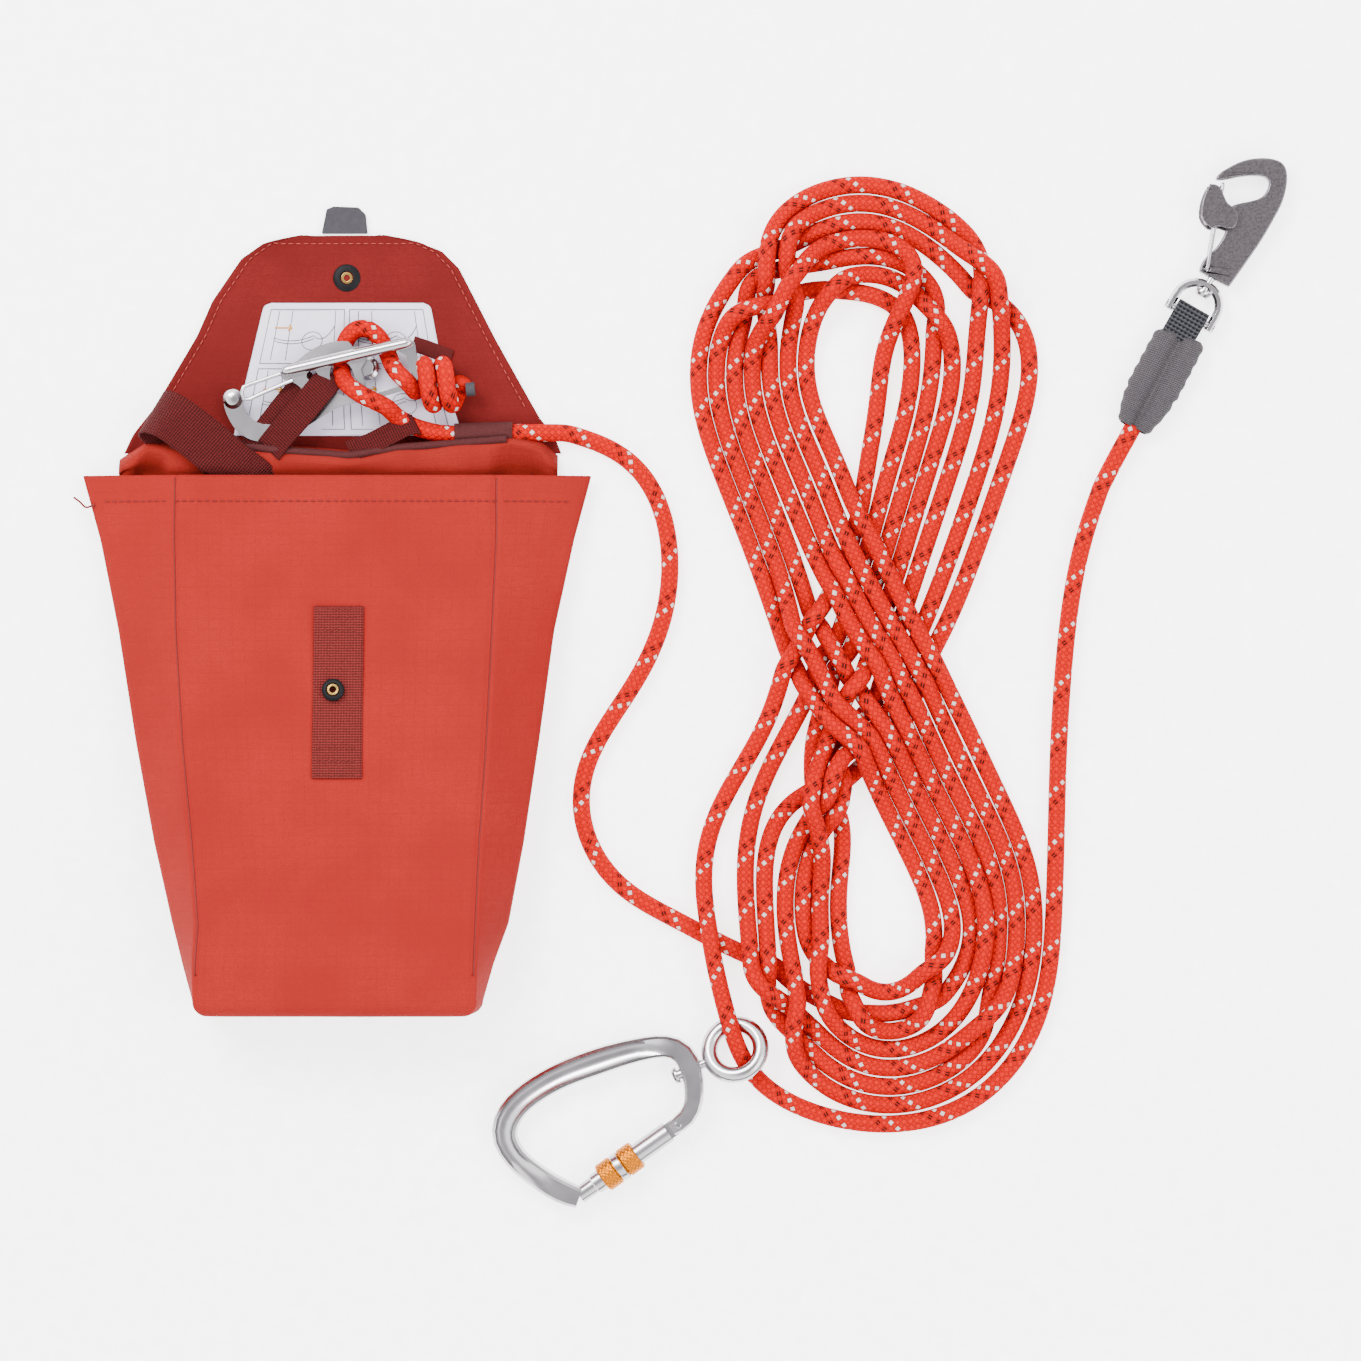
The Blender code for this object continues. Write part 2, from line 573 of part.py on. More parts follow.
def make_ring(frame, axis):
    """The swivel eye: a round ring with a shank that turns in the carabiner's end bar."""
    centre = in_frame(frame, (*RING_AT, 0.0))
    bar = in_frame(frame, (*PIN_BAR, 0.0))
    heading = (bar - centre).normalized()
    up = Vector((0, 0, 1)) - heading * heading.z
    lean = Matrix.Rotation(RING_TILT, 4, heading)
    normal = lean.to_3x3() @ up
    profile = [
        (RING_RADIUS + RING_TUBE * math.cos(2 * math.pi * i / 12), RING_TUBE * math.sin(2 * math.pi * i / 12))
        for i in range(12)
    ]
    ring = turned("swivel_ring", profile, "aluminium", 32, axis_frame(centre, normal), axis)
    shank = bmesh.new()
    turned_into(shank, rod(2.6, RING_RADIUS + 1.0, 33.4), 16)
    boolean(ring, "UNION", helper("ring_shank_shape", shank, axis_frame(centre, heading), axis))
    head = [(2.9, 32.2), (4.3, 32.2), (4.3, 33.6), (3.4, 35.0), (0, 35.4), (0, 33.8), (2.9, 33.8)]
    turned("swivel_shank_head", head, "aluminium", 16, axis_frame(centre, heading), axis)


def carabiner_rings():
    """Sections along the carabiner's bar, with a channel forged into both faces away from its ends."""
    stations = [
        (-4.4, -232.2, 7.6, 9.4), (-1.1, -229.8, 9.2, 10.0), (3.0, -226.4, 9.6, 10.4),
        (6.4, -220.0, 9.8, 10.6),
        (7.2, -211.5, 10.4, 10.6), (5.6, -201.2, 11.4, 10.8), (0.6, -192.6, 11.6, 10.8),
        (-8.0, -189.3, 11.6, 10.8),
        (-22.5, -191.3, 12.6, 11.0), (-42.2, -197.0, 14.0, 11.4), (-63.5, -205.3, 13.6, 11.4),
        (-80.4, -215.9, 13.4, 11.2), (-89.2, -226.3, 13.6, 11.2), (-91.0, -237.0, 13.0, 11.2),
        (-84.9, -248.0, 12.0, 11.0), (-72.4, -258.2, 12.2, 10.8), (-60.6, -265.0, 12.6, 10.4),
        (-52.4, -268.0, 11.0, 10.0),
    ]
    route = smooth_route([(x, y, 0.0) for x, y, _, _ in stations], 5.0)
    sizes = smooth_route([(i * 10.0, w, h) for i, (_, _, w, h) in enumerate(stations)], 1.0)
    runs = [0.0]
    for a, b in zip(stations, stations[1:]):
        runs.append(runs[-1] + math.dist(a[:2], b[:2]))
    rings = []
    for i, p in enumerate(route):
        at = runs[-1] * i / (len(route) - 1)
        k = max(j for j in range(len(runs) - 1) if runs[j] <= at + 1e-9)
        place_in = (k + (at - runs[k]) / (runs[k + 1] - runs[k])) * 10.0
        _, w, h = min(sizes, key=lambda s: abs(s[0] - place_in))
        along = (route[min(i + 1, len(route) - 1)] - route[max(i - 1, 0)]).normalized()
        side = Vector((-along.y, along.x, 0.0))
        up = Vector((0, 0, 1))
        deep = CHANNEL_DEPTH * max(0.0, min(1.0, (at - 52.0) / 18.0, (runs[-1] - 16.0 - at) / 22.0))
        upper = [
            (0.5, 0.16), (0.44, 0.40), (0.33, 0.5), (0.20, 0.5 - 0.6 * deep), (0.0, 0.5 - deep),
            (-0.20, 0.5 - 0.8 * deep), (-0.35, 0.5), (-0.46, 0.38), (-0.5, 0.14),
        ]
        corners = upper + [(a, -b) for a, b in reversed(upper)]
        rings.append([p + side * (w * a) + up * (h * b) for a, b in corners])
    return rings


def along_gate(run):
    """A point on the gate's axis, in the carabiner's plane."""
    return (GATE_HINGE[0] + GATE_HEADING[0] * run, GATE_HINGE[1] + GATE_HEADING[1] * run, 0.0)


def gate_axis_frame(frame):
    return frame @ axis_frame(along_gate(0.0), (*GATE_HEADING, 0.0))


def cut_bore(piece, name, radius, low, high, place_at, joint):
    """A round hole through a piece, along the local X (or the pin's Z) of the place given."""
    bm = bmesh.new()
    turned_into(bm, rod(radius, low, high), 16)
    boolean(piece, "DIFFERENCE", helper(name, bm, place_at, joint))


def make_carabiner_body(frame, pin_at, swivel):
    bm = bmesh.new()
    skin(bm, carabiner_rings())
    body = from_bmesh("carabiner_body", bm, "aluminium", frame, swivel)
    stub = bmesh.new()
    turned_into(stub, rod(4.6, GATE_LENGTH + 0.6, 63.0), 16)
    boolean(body, "UNION", helper("nose_stub_shape", stub, gate_axis_frame(frame), swivel))
    slot = bmesh.new()
    prism_into(slot, oblong((0.0, 0.0), 9.0, 6.6, math.atan2(GATE_HEADING[1], GATE_HEADING[0])), -2.8, 2.8)
    slot_at = frame @ Matrix.Translation(Vector((*along_gate(2.4)[:2], 0.0)) * MM)
    boolean(body, "DIFFERENCE", helper("hinge_slot_cutter", slot, slot_at, swivel))
    heading = (Vector((*PIN_BAR, 0.0)) - Vector((*RING_AT, 0.0))).normalized()
    cut_bore(body, "shank_bore_cutter", 2.95, -9.0, 9.0, frame @ axis_frame((*PIN_BAR, 0.0), heading), swivel)
    cut_bore(body, "gate_pin_cutter", 1.8, -8.0, 8.0, pin_at, swivel)
    turned("gate_hinge_pin", rod(1.5, -5.0, 5.0), "steel", 16, pin_at, swivel)


def make_carabiner_gate(frame, pin_at, gate_axis):
    along = gate_axis_frame(frame)
    gate = turned("carabiner_gate", rod(GATE_RADIUS, 6.4, GATE_LENGTH), "aluminium", 24, along, gate_axis)
    tongue = bmesh.new()
    round_end = [math.radians(90 + 15 * k) for k in range(13)]
    tongue_outline = [(4.2 * math.cos(a), 4.2 * math.sin(a)) for a in round_end] + [(9.0, -4.2), (9.0, 4.2)]
    prism_into(tongue, tongue_outline, -2.4, 2.4)
    turn = Matrix.Rotation(math.atan2(GATE_HEADING[1], GATE_HEADING[0]), 4, "Z")
    boolean(gate, "UNION", helper("tongue_shape", tongue, pin_at @ turn, gate_axis))
    cut_bore(gate, "spring_bore_cutter", 2.0, -6.0, 30.0, along, gate_axis)
    cut_bore(gate, "gate_eye_cutter", 1.8, -8.0, 8.0, pin_at, gate_axis)

    plunger = [(0, 2.2), (1.2, 2.6), (1.6, 4.0), (1.6, 12.0), (0, 12.0)]
    turned("gate_plunger", plunger, "steel", 12, along, gate_axis)
    coils, wire_run = 7, []
    for i in range(coils * 10 + 1):
        a = 2 * math.pi * i / 10
        wire_run.append((1.35 * math.cos(a), 1.35 * math.sin(a), 12.8 + 16.0 * i / (coils * 10)))
    tube("gate_spring", wire_run, 0.3, "steel", 1, along, gate_axis)


def make_lock_sleeve(frame, lock_axis):
    along = gate_axis_frame(frame)
    low, high = SLEEVE_CENTRE - SLEEVE_HALF, SLEEVE_CENTRE + SLEEVE_HALF
    mid = SLEEVE_CENTRE
    knurled = [
        (5.9, low), (7.0, low), (7.8, low + 0.8), (7.8, mid - 2.9), (6.9, mid - 2.4), (6.9, mid + 2.4),
        (7.8, mid + 2.9), (7.8, high - 0.8), (7.0, high), (5.9, high),
    ]
    turned("lock_sleeve", knurled, "gold_anodised", 28, along, lock_axis)
    band = pipe(7.2, 7.75, mid - 1.8, mid + 1.8)
    turned("lock_sleeve_band", band, "aluminium", 28, along, lock_axis)


# --- The clip -------------------------------------------------------------------------------------------


def clip_frame():
    """Local X runs along the clip's chain, local Y across it along the bail's pin."""
    at = Matrix.Translation(Vector((*BAIL_PIN_AT, CLIP_MID_Z)) * MM)
    return at @ Matrix.Rotation(CLIP_HEADING, 4, "Z")


def make_clip_sleeve():
    outline = [
        (239.5, 169.8), (246.9, 185.4), (269.4, 172.4), (257.7, 143.3), (241.5, 126.1), (235.3, 131.3),
        (227.5, 136.5), (233.2, 154.7),
    ]
    prism("clip_rope_sleeve", outline, 0.3, 12.8, "grey_cloth")
    local = clip_frame()
    bm = bmesh.new()
    profile = [(-11.2, -4.2), (1.6, -4.2), (4.2, -2.6), (5.0, 0.0), (4.2, 2.6), (1.6, 4.2), (-11.2, 4.2)]
    pin_hole = ellipse((0.0, 0.0), 2.4, 2.4, 16)
    prism_into(bm, profile, -8.8, 8.8, (pin_hole,))
    upright = local @ Matrix.Rotation(math.radians(90), 4, "X")
    from_bmesh("clip_webbing_tab", bm, "black_webbing", upright)


def make_bail(axis):
    """The swivel bail: a round-nosed shackle over the webbing tab, its pin and the rivet in its crown."""
    local = clip_frame()
    path = [(-2.6, 11.9), (0.0, 11.9), (4.5, 11.9)]
    for turn in range(15, 180, 15):
        a = math.radians(turn)
        path.append((6.0 + 11.9 * math.sin(a), 11.9 * math.cos(a)))
    path += [(4.5, -11.9), (0.0, -11.9), (-2.6, -11.9)]
    rings = []
    for i, (x, y) in enumerate(path):
        ax, ay = path[max(i - 1, 0)]
        bx, by = path[min(i + 1, len(path) - 1)]
        along = Vector((bx - ax, by - ay, 0.0)).normalized()
        side = Vector((-along.y, along.x, 0.0))
        ring = []
        for k in range(8):
            a = math.radians(45 * k + 22.5)
            ring.append(Vector((x, y, 0.0)) + side * (2.45 * math.cos(a)) + Vector((0, 0, 3.0 * math.sin(a))))
        rings.append(ring)
    bm = bmesh.new()
    skin(bm, rings)
    bail = from_bmesh("swivel_bail", bm, "steel", local, axis)
    across = local @ Matrix.Rotation(math.radians(-90), 4, "X")
    hole = bmesh.new()
    turned_into(hole, rod(2.3, -18.0, 18.0), 16)
    boolean(bail, "DIFFERENCE", helper("bail_pin_cutter", hole, across, axis))
    crown = bmesh.new()
    turned_into(crown, rod(2.4, 10.0, 24.0), 16)
    lengthways = local @ Matrix.Rotation(math.radians(90), 4, "Y")
    boolean(bail, "DIFFERENCE", helper("crown_hole_cutter", crown, lengthways, axis))
    turned("bail_pin", rod(2.0, -14.3, 14.3), "steel", 16, across, axis)


def make_clip(swivel, gate_axis):
    lengthways = clip_frame() @ Matrix.Rotation(math.radians(90), 4, "Y")
    rivet = [(0, 10.9), (3.0, 11.3), (4.2, 13.0), (4.2, 14.6), (2.0, 14.6), (2.0, 26.5), (0, 26.5)]
    turned("swivel_rivet", rivet, "steel", 16, lengthways, swivel)
    outline = [
        (278.0, 259.4), (277.9, 261.2), (280.0, 263.4), (283.6, 265.6), (288.6, 268.2), (294.2, 270.0),
        (301.0, 270.7), (306.8, 270.2), (311.2, 268.5), (313.6, 265.4), (314.3, 261.0), (314.0, 256.2),
        (313.0, 251.6), (311.0, 245.8), (307.7, 239.6), (303.9, 232.8), (299.0, 224.9), (293.2, 216.6),
        (287.6, 208.6), (284.2, 203.9), (284.2, 203.9), (268.9, 212.0), (268.9, 212.0), (269.6, 215.0),
        (271.6, 218.6), (276.0, 222.6), (279.2, 226.6), (281.9, 231.2), (283.4, 236.6), (283.6, 242.0),
        (284.9, 245.2), (288.4, 246.9), (293.4, 247.9), (298.6, 249.2), (302.2, 251.4), (304.4, 255.0),
        (304.9, 258.6), (302.9, 260.9), (298.6, 261.6), (293.6, 261.5), (288.0, 260.7), (282.6, 259.5),
    ]
    low, high = CLIP_MID_Z - 3.2, CLIP_MID_Z + 3.2
    body = prism("clip_body", smooth_loop(outline, 2), low, high, "dark_metal", parent=swivel)
    bore = bmesh.new()
    turned_into(bore, rod(2.35, 18.0, 27.2), 16)
    boolean(body, "DIFFERENCE", helper("rivet_bore_cutter", bore, lengthways, swivel))
    wire_at = (*CLIP_GATE_HINGE, CLIP_MID_Z)
    cut_round(body, "gate_wire_hole_cutter", wire_at, (0, 0, 1), 1.3, -6.0, 6.0, swivel, 12)

    x, y = CLIP_GATE_HINGE
    wire = [
        (x, y, high - 1.6), (x, y, high + 0.4), (x + 0.6, y + 1.6, high + 1.4),
        (x + 3.4, y + 18.0, high + 1.4),
        (x + 6.6, y + 34.0, high + 1.4), (x + 8.2, y + 42.4, high + 1.4), (x + 8.4, y + 43.9, high - 0.2),
    ]
    mirrored = [(a, b, 2 * CLIP_MID_Z - c) for a, b, c in reversed(wire)]
    tube("clip_gate_wire", wire + mirrored, 0.9, "steel", 2, None, gate_axis)

    face = smooth_loop([
        (276.4, 256.6), (279.0, 255.0), (281.4, 249.8), (283.2, 246.6), (286.8, 243.9), (288.2, 240.6),
        (287.9, 236.8), (286.0, 234.0), (282.8, 233.5), (279.0, 234.9), (275.1, 234.0), (272.2, 235.8),
        (269.4, 240.3), (270.0, 247.6), (272.2, 253.8), (274.2, 256.4),
    ], 2)
    bm = bmesh.new()
    prism_into(bm, face, high + 2.7, high + 4.0)
    thumb = from_bmesh("clip_thumb_tab", bm, "dark_metal", None, gate_axis)
    lower = bmesh.new()
    prism_into(lower, face, 0.3, low - 2.6)
    boolean(thumb, "UNION", helper("thumb_lower_shape", lower, None, gate_axis))
    wall = bmesh.new()
    outline = [(273.4, 254.6), (273.4, 236.2), (272.2, 236.6), (270.2, 240.6), (270.8, 247.4), (272.4, 252.8)]
    prism_into(wall, outline, 0.8, high + 3.2)
    boolean(thumb, "UNION", helper("thumb_wall_shape", wall, None, gate_axis))


# --- The whole kit --------------------------------------------------------------------------------------


def make_rope():
    tube("rope_sack_lead", smooth_route(BAG_LEAD, 12.0), ROPE_RADIUS, "rope")
    prism("rope_flaked_coil", COIL_OUTLINE, 0.0, COIL_HEIGHT, "rope", (COIL_UPPER_EYE, COIL_LOWER_EYE))
    tube("rope_clip_lead", smooth_route(CLIP_LEAD, 13.0), ROPE_RADIUS, "rope")


def main():
    clear_scene()
    make_sack()
    make_sack_trim()
    make_front_strap()
    make_keeper()
    make_rope()
    make_flap(joint_empty("flap_hinge", FLAP_HINGE))

    tensioner = joint_empty("tensioner_hinge", TENSIONER_HINGE)
    local, gate = make_tensioner(tensioner)
    gate_hinge = joint_empty("tensioner_gate_hinge", in_frame(local, gate[0]))
    make_tensioner_gate(local, gate, gate_hinge)
    make_tensioner_soft(local, tensioner)

    frame = carabiner_frame()
    make_ring(frame, joint_empty("ring_turn", in_frame(frame, (*RING_AT, 0.0))))
    swivel = joint_empty("carabiner_swivel", in_frame(frame, (*PIN_BAR, 0.0)))
    gate_axis = joint_empty("carabiner_gate_hinge", in_frame(frame, (*GATE_HINGE, 0.0)))
    lock_axis = joint_empty("lock_sleeve_axis", in_frame(frame, along_gate(SLEEVE_CENTRE)))
    pin_at = frame @ Matrix.Translation(Vector((*GATE_HINGE, 0.0)) * MM)
    make_carabiner_body(frame, pin_at, swivel)
    make_carabiner_gate(frame, pin_at, gate_axis)
    make_lock_sleeve(frame, lock_axis)

    make_clip_sleeve()
    make_bail(joint_empty("bail_hinge", (*BAIL_PIN_AT, CLIP_MID_Z)))
    clip_swivel = joint_empty("clip_swivel", (*in_frame(clip_frame(), (13.0, 0.0, 0.0)),))
    make_clip(clip_swivel, joint_empty("clip_gate_hinge", (*CLIP_GATE_HINGE, CLIP_MID_Z)))


main()
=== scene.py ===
import json
import math

import bpy
import numpy as np
from mathutils import Matrix, Vector


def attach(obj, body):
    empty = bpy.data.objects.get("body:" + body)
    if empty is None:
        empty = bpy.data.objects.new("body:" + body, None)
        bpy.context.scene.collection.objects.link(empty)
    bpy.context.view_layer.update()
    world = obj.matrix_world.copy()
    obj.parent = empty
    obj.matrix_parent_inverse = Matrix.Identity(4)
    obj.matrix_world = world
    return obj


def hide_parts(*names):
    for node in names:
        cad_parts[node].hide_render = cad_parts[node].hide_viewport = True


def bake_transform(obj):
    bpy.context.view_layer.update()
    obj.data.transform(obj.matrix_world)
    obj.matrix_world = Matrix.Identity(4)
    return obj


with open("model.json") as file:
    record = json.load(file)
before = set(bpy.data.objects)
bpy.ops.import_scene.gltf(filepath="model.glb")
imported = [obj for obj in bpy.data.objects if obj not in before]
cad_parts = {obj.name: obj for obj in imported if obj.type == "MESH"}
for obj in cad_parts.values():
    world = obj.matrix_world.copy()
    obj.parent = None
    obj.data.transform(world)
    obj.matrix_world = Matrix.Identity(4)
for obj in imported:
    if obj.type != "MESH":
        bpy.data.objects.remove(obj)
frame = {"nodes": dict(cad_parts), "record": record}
NODES = frame["nodes"]

# A climbing rope with its sack, tensioner, carabiner and clip. The hard CAD pieces are dressed as they are, and
# the soft ones and the lock sleeve get finer meshes. Lengths are in mm, or in metres for lights and bumps.

MM = 0.001
ROPE_RADIUS = 4.55
ROPE_CLEAR = 9.2  # least distance between the centres of two strands that touch
CARRIERS = 8  # yarns of the sheath that wind each way
BRAID_PITCH = 27.5  # length of rope in which one yarn goes once round
LEAST_BEND = 16.0  # the tightest radius that the rope lies in
TURNS = 7
LAYER = 3.2  # how much higher each turn starts than the one before
LYING = 4.65  # height of the rope's middle where a lead lies on the floor
LOWEST = ROPE_RADIUS + 0.05  # least height of the rope's middle above the floor
SETTLE_STEP = 4.0  # spacing of the points while the rope settles
CREASE = math.radians(32)  # sharper edges than this are bevelled
CARABINER_TILT = math.radians(2.48)
GATE_HINGE = (-1.1, -229.8)
GATE_RUN = (-0.810, -0.586)  # the way from the gate's hinge to its tip

# From the keeper on the sack to the coil.
SACK_LEAD = [(-96.0, 128.0, 8.4), (-84.0, 128.3, 8.2), (-71.0, 128.4, 7.2), (-58.0, 128.2, 5.4)]
SACK_LEAD += [(x, y, LYING) for x, y in (
    (-43.9, 125.6), (-31.5, 120.6), (-20.5, 112.6), (-9.6, 93.9), (-4.4, 67.9), (-5.5, 41.9),
    (-13.3, 15.9), (-28.9, -10.1), (-44.5, -30.9), (-53.4, -51.7), (-53.3, -72.5), (-45.0, -93.3),
    (-29.5, -111.0), (-10.7, -120.0), (8.0, -125.5), (25.0, -137.0), (42.0, -156.0),
)]
# From the coil's last turn through the swivel eye, round the coil's foot and up to the clip's sleeve.
CLIP_LEAD = [
    (8.5, -88.0, 11.0), (10.4, -112.0, 14.0), (14.4, -135.0, 13.0), (16.9, -148.5, 11.0),
    (20.2, -160.0, 13.0), (23.4, -170.5, 16.4), (25.6, -178.2, 17.4), (27.1, -184.8, 14.9),
    (28.5, -191.2, 10.9), (30.4, -197.8, 6.7), (34.0, -204.8, 4.8),
]
CLIP_LEAD += [(x, y, LYING) for x, y in (
    (40.5, -211.3), (52.0, -218.3), (75.0, -227.3), (104.8, -231.6), (134.9, -227.8), (156.5, -217.0),
    (173.4, -200.4), (185.6, -178.6), (192.2, -147.9), (194.6, -97.5), (196.3, -29.9), (201.0, 31.5),
    (207.2, 67.9), (215.5, 93.9),
)]
CLIP_LEAD += [(225.6, 114.7, 5.2), (233.2, 128.6, 6.2), (235.8, 133.8, 6.4)]
# The band that the turns fill, once round the figure of eight: which lanes apply, and at each station the
# strand that is innermost in the lower loop and the one that is outermost there.
BAND = [
    ("low_left", ((76, -105), (20, -107)), ((78, -145), (31, -146))),
    ("foot", ((88, -167), (52, -188)), ((106, -177), (90, -219)), ((128, -169), (154, -206))),
    ("low_right", ((141, -145), (181, -162)), ((141, -114), (181, -114))),
    ("over", ((118, -83), (169, -73)), ((95, -46), (151, -28)), ((68, -2), (125, 17))),
    ("over", ((45, 49), (103, 67)), ((27, 95), (84, 111))),
    ("up_left", ((8, 151), (63, 151)), ((20, 200), (65, 186))),
    ("crown", ((40, 241), (80, 205)), ((99, 258), (101, 208)), ((130, 246), (117, 203))),
    ("crown", ((166, 222), (112, 190))),
    ("up_right", ((181, 190), (108, 182)), ((184, 154), (106, 154)), ((170, 111), (98, 118))),
    ("under", ((153, 62), (83, 72)), ((137, 22), (73, 30)), ((109, -40), (47, -24))),
    ("low_left", ((92, -70), (23, -57))),
]
STATIONS = [(inner, outer, part) for part, *ends in BAND for inner, outer in ends]
# How far across the band each turn lies, in the order in which the rope was laid down. A turn ends at the
# low_left lane of the next one, so that list has one more.
LANES = {
    "low_left": [0.98, 0.00, 0.60, 0.22, 0.80, 0.42, 0.12, 1.00],
    "foot": [0.10, 0.30, 0.85, 0.00, 0.62, 0.98, 0.45],
    "low_right": [0.30, 0.00, 0.62, 0.16, 0.80, 1.00, 0.46],
    "over": [0.30, 0.00, 0.64, 0.15, 0.82, 1.00, 0.47],
    "up_left": [0.30, 0.02, 0.66, 0.16, 0.80, 1.00, 0.46],
    "crown": [0.60, 0.35, 0.05, 0.95, 0.22, 0.76, 0.48],
    "up_right": [0.68, 0.02, 0.39, 0.83, 0.19, 0.55, 1.00],
    "under": [0.68, 0.02, 0.39, 0.84, 0.19, 0.54, 1.00],
}
# How high a turn starts where the loops cross. Elsewhere it starts 3 mm up.
STARTS = {"over": 14.0, "under": 0.0}

# The sack, from its foot to its mouth: y, middle x, half width at the side folds, half width and height of
# the front panel, height of the folds, half width of the back panel.
SACK = [
    (-164.0, -175.9, 74.1, 71.3, 58.0, 31.0, 72.0), (-145.3, -175.9, 79.5, 71.3, 58.0, 30.0, 77.0),
    (-124.5, -174.8, 86.1, 71.0, 55.0, 28.0, 83.0), (-83.0, -175.8, 94.9, 73.7, 49.0, 25.0, 91.0),
    (-31.0, -177.0, 103.9, 78.2, 41.0, 20.0, 99.0), (26.0, -177.9, 112.6, 81.7, 32.0, 15.0, 107.0),
    (73.0, -177.7, 122.7, 83.4, 24.0, 11.0, 116.0), (106.0, -177.9, 131.9, 83.4, 20.0, 9.0, 124.0),
]
# The flap's outline: y and x of its two sides, its far edge, and the middle that its corners round towards.
FLAP_LEFT = [(118, -289), (128, -284), (142, -273), (179, -251), (197, -243), (219, -228), (226, -218)]
FLAP_RIGHT = [(118, -62), (128, -66), (136, -73), (177, -96), (214, -115), (223, -124), (226, -132)]
FLAP_TOP, FLAP_MIDDLE = 231.0, -176
LABEL = [(127, -232, -113), (154, -226, -122), (196, -216, -130)]  # y, left and right edges
SIDE_POINTS = (12, 22, 120, 22, 12, 40)  # on each side of the sack's section, from the back's left corner


def spline(points, step):
    """A smooth line through the points, with a point about every step."""
    p = np.array(points, float)
    p = np.vstack([2 * p[0] - p[1], p, 2 * p[-1] - p[-2]])
    out = []
    for a, b, c, d in zip(p[:-3], p[1:-2], p[2:-1], p[3:]):
        n = max(1, int(np.linalg.norm(c - b) / (step * 0.5)))
        t = (np.arange(n) / n)[:, None]
        square, cube = 2 * a - 5 * b + 4 * c - d, 3 * b - a - 3 * c + d
        out.append(0.5 * (2 * b + (c - a) * t + square * t**2 + cube * t**3))
    return even(np.vstack(out + [p[-2:-1]]), step)


def run_of(line):
    """How far along the line each of its points is."""
    return np.concatenate([[0.0], np.cumsum(np.linalg.norm(np.diff(line, axis=0), axis=1))])


def even(line, step):
    """The same line with points evenly spaced along it."""
    run = run_of(line)
    at = np.linspace(0.0, run[-1], max(2, int(round(run[-1] / step)) + 1))
    return np.stack([np.interp(at, run, line[:, k]) for k in range(line.shape[1])], axis=1)


def resampled(points, count):
    """The smooth line through the points, as that many points."""
    line = spline(points, 0.8)
    at = np.linspace(0, len(line) - 1, count)
    return np.stack([np.interp(at, np.arange(len(line)), line[:, k]) for k in range(3)], axis=1)


def planned_turns():
    """The coil before it settles: every turn at its lanes, and each one laid a little above the last.

    The first turn starts at the coil's foot, where the lead from the sack joins it."""
    points = []
    for turn in range(TURNS):
        for k, (inner, outer, part) in enumerate(STATIONS):
            across = LANES[part][turn + 1 if k == len(STATIONS) - 1 else turn]
            if turn == 0 and k < 2:
                continue
            x = inner[0] + (outer[0] - inner[0]) * across
            y = inner[1] + (outer[1] - inner[1]) * across
            points.append((x, y, ROPE_RADIUS + STARTS.get(part, 3.0) + LAYER * turn))
    return points


def touching(p, reach, near):
    """Pairs of points closer than reach that aren't neighbours along the rope."""
    pairs = []
    order = np.argsort(p[:, 0], kind="stable")
    x = p[order, 0]
    ends = np.searchsorted(x, x + reach)
    widest = int((ends - np.arange(len(x))).max())
    for k in range(1, widest):
        a, b = order[:-k], order[k:]
        close = (x[k:] - x[:-k] < reach) & (np.abs(p[a, 1] - p[b, 1]) < reach) & (np.abs(a - b) > near)
        pairs.append(np.stack([a[close], b[close]], axis=1))
    return np.vstack(pairs)


def pull_to_length(p, hold, rest):
    """Brings every other link of the rope back to its length, then the links between them."""
    for odd in (0, 1, 0, 1):
        n = (len(p) - odd) // 2
        a = np.arange(odd, odd + 2 * n - 1, 2)
        gap = p[a + 1] - p[a]
        size = np.linalg.norm(gap, axis=1, keepdims=True)
        push = 0.5 * gap * (1 - rest[a, None] / size)
        p[a] += hold[a] * push
        p[a + 1] -= hold[a + 1] * push


def ease_bends(p, hold, step):
    """Opens only the bends that are tighter than the rope can make, so that wide loops keep their size."""
    for reach in (1, 2, 3):
        middle = 0.5 * (p[: -2 * reach] + p[2 * reach :])
        off = middle - p[reach:-reach]
        size = np.linalg.norm(off, axis=1, keepdims=True)
        most = (reach * step) ** 2 / (2 * LEAST_BEND)
        p[reach:-reach] += hold[reach:-reach] * 0.4 * off * np.maximum(0.0, 1 - most / np.maximum(size, 1e-6))


def push_apart(p, hold, pairs):
    """Moves strands that sink into each other apart, half each."""
    a, b = pairs[:, 0], pairs[:, 1]
    gap = p[b] - p[a]
    size = np.linalg.norm(gap, axis=1)
    hit = size < ROPE_CLEAR
    a, b, gap, size = a[hit], b[hit], gap[hit], size[hit]
    push = gap * (0.5 * (ROPE_CLEAR - size) / np.maximum(size, 1e-6))[:, None]
    moved, times = np.zeros_like(p), np.ones(len(p))
    for ends, way in ((a, -push), (b, push)):
        np.add.at(moved, ends, way)
        np.add.at(times, ends, 0.5)
    p += hold * moved / times[:, None]


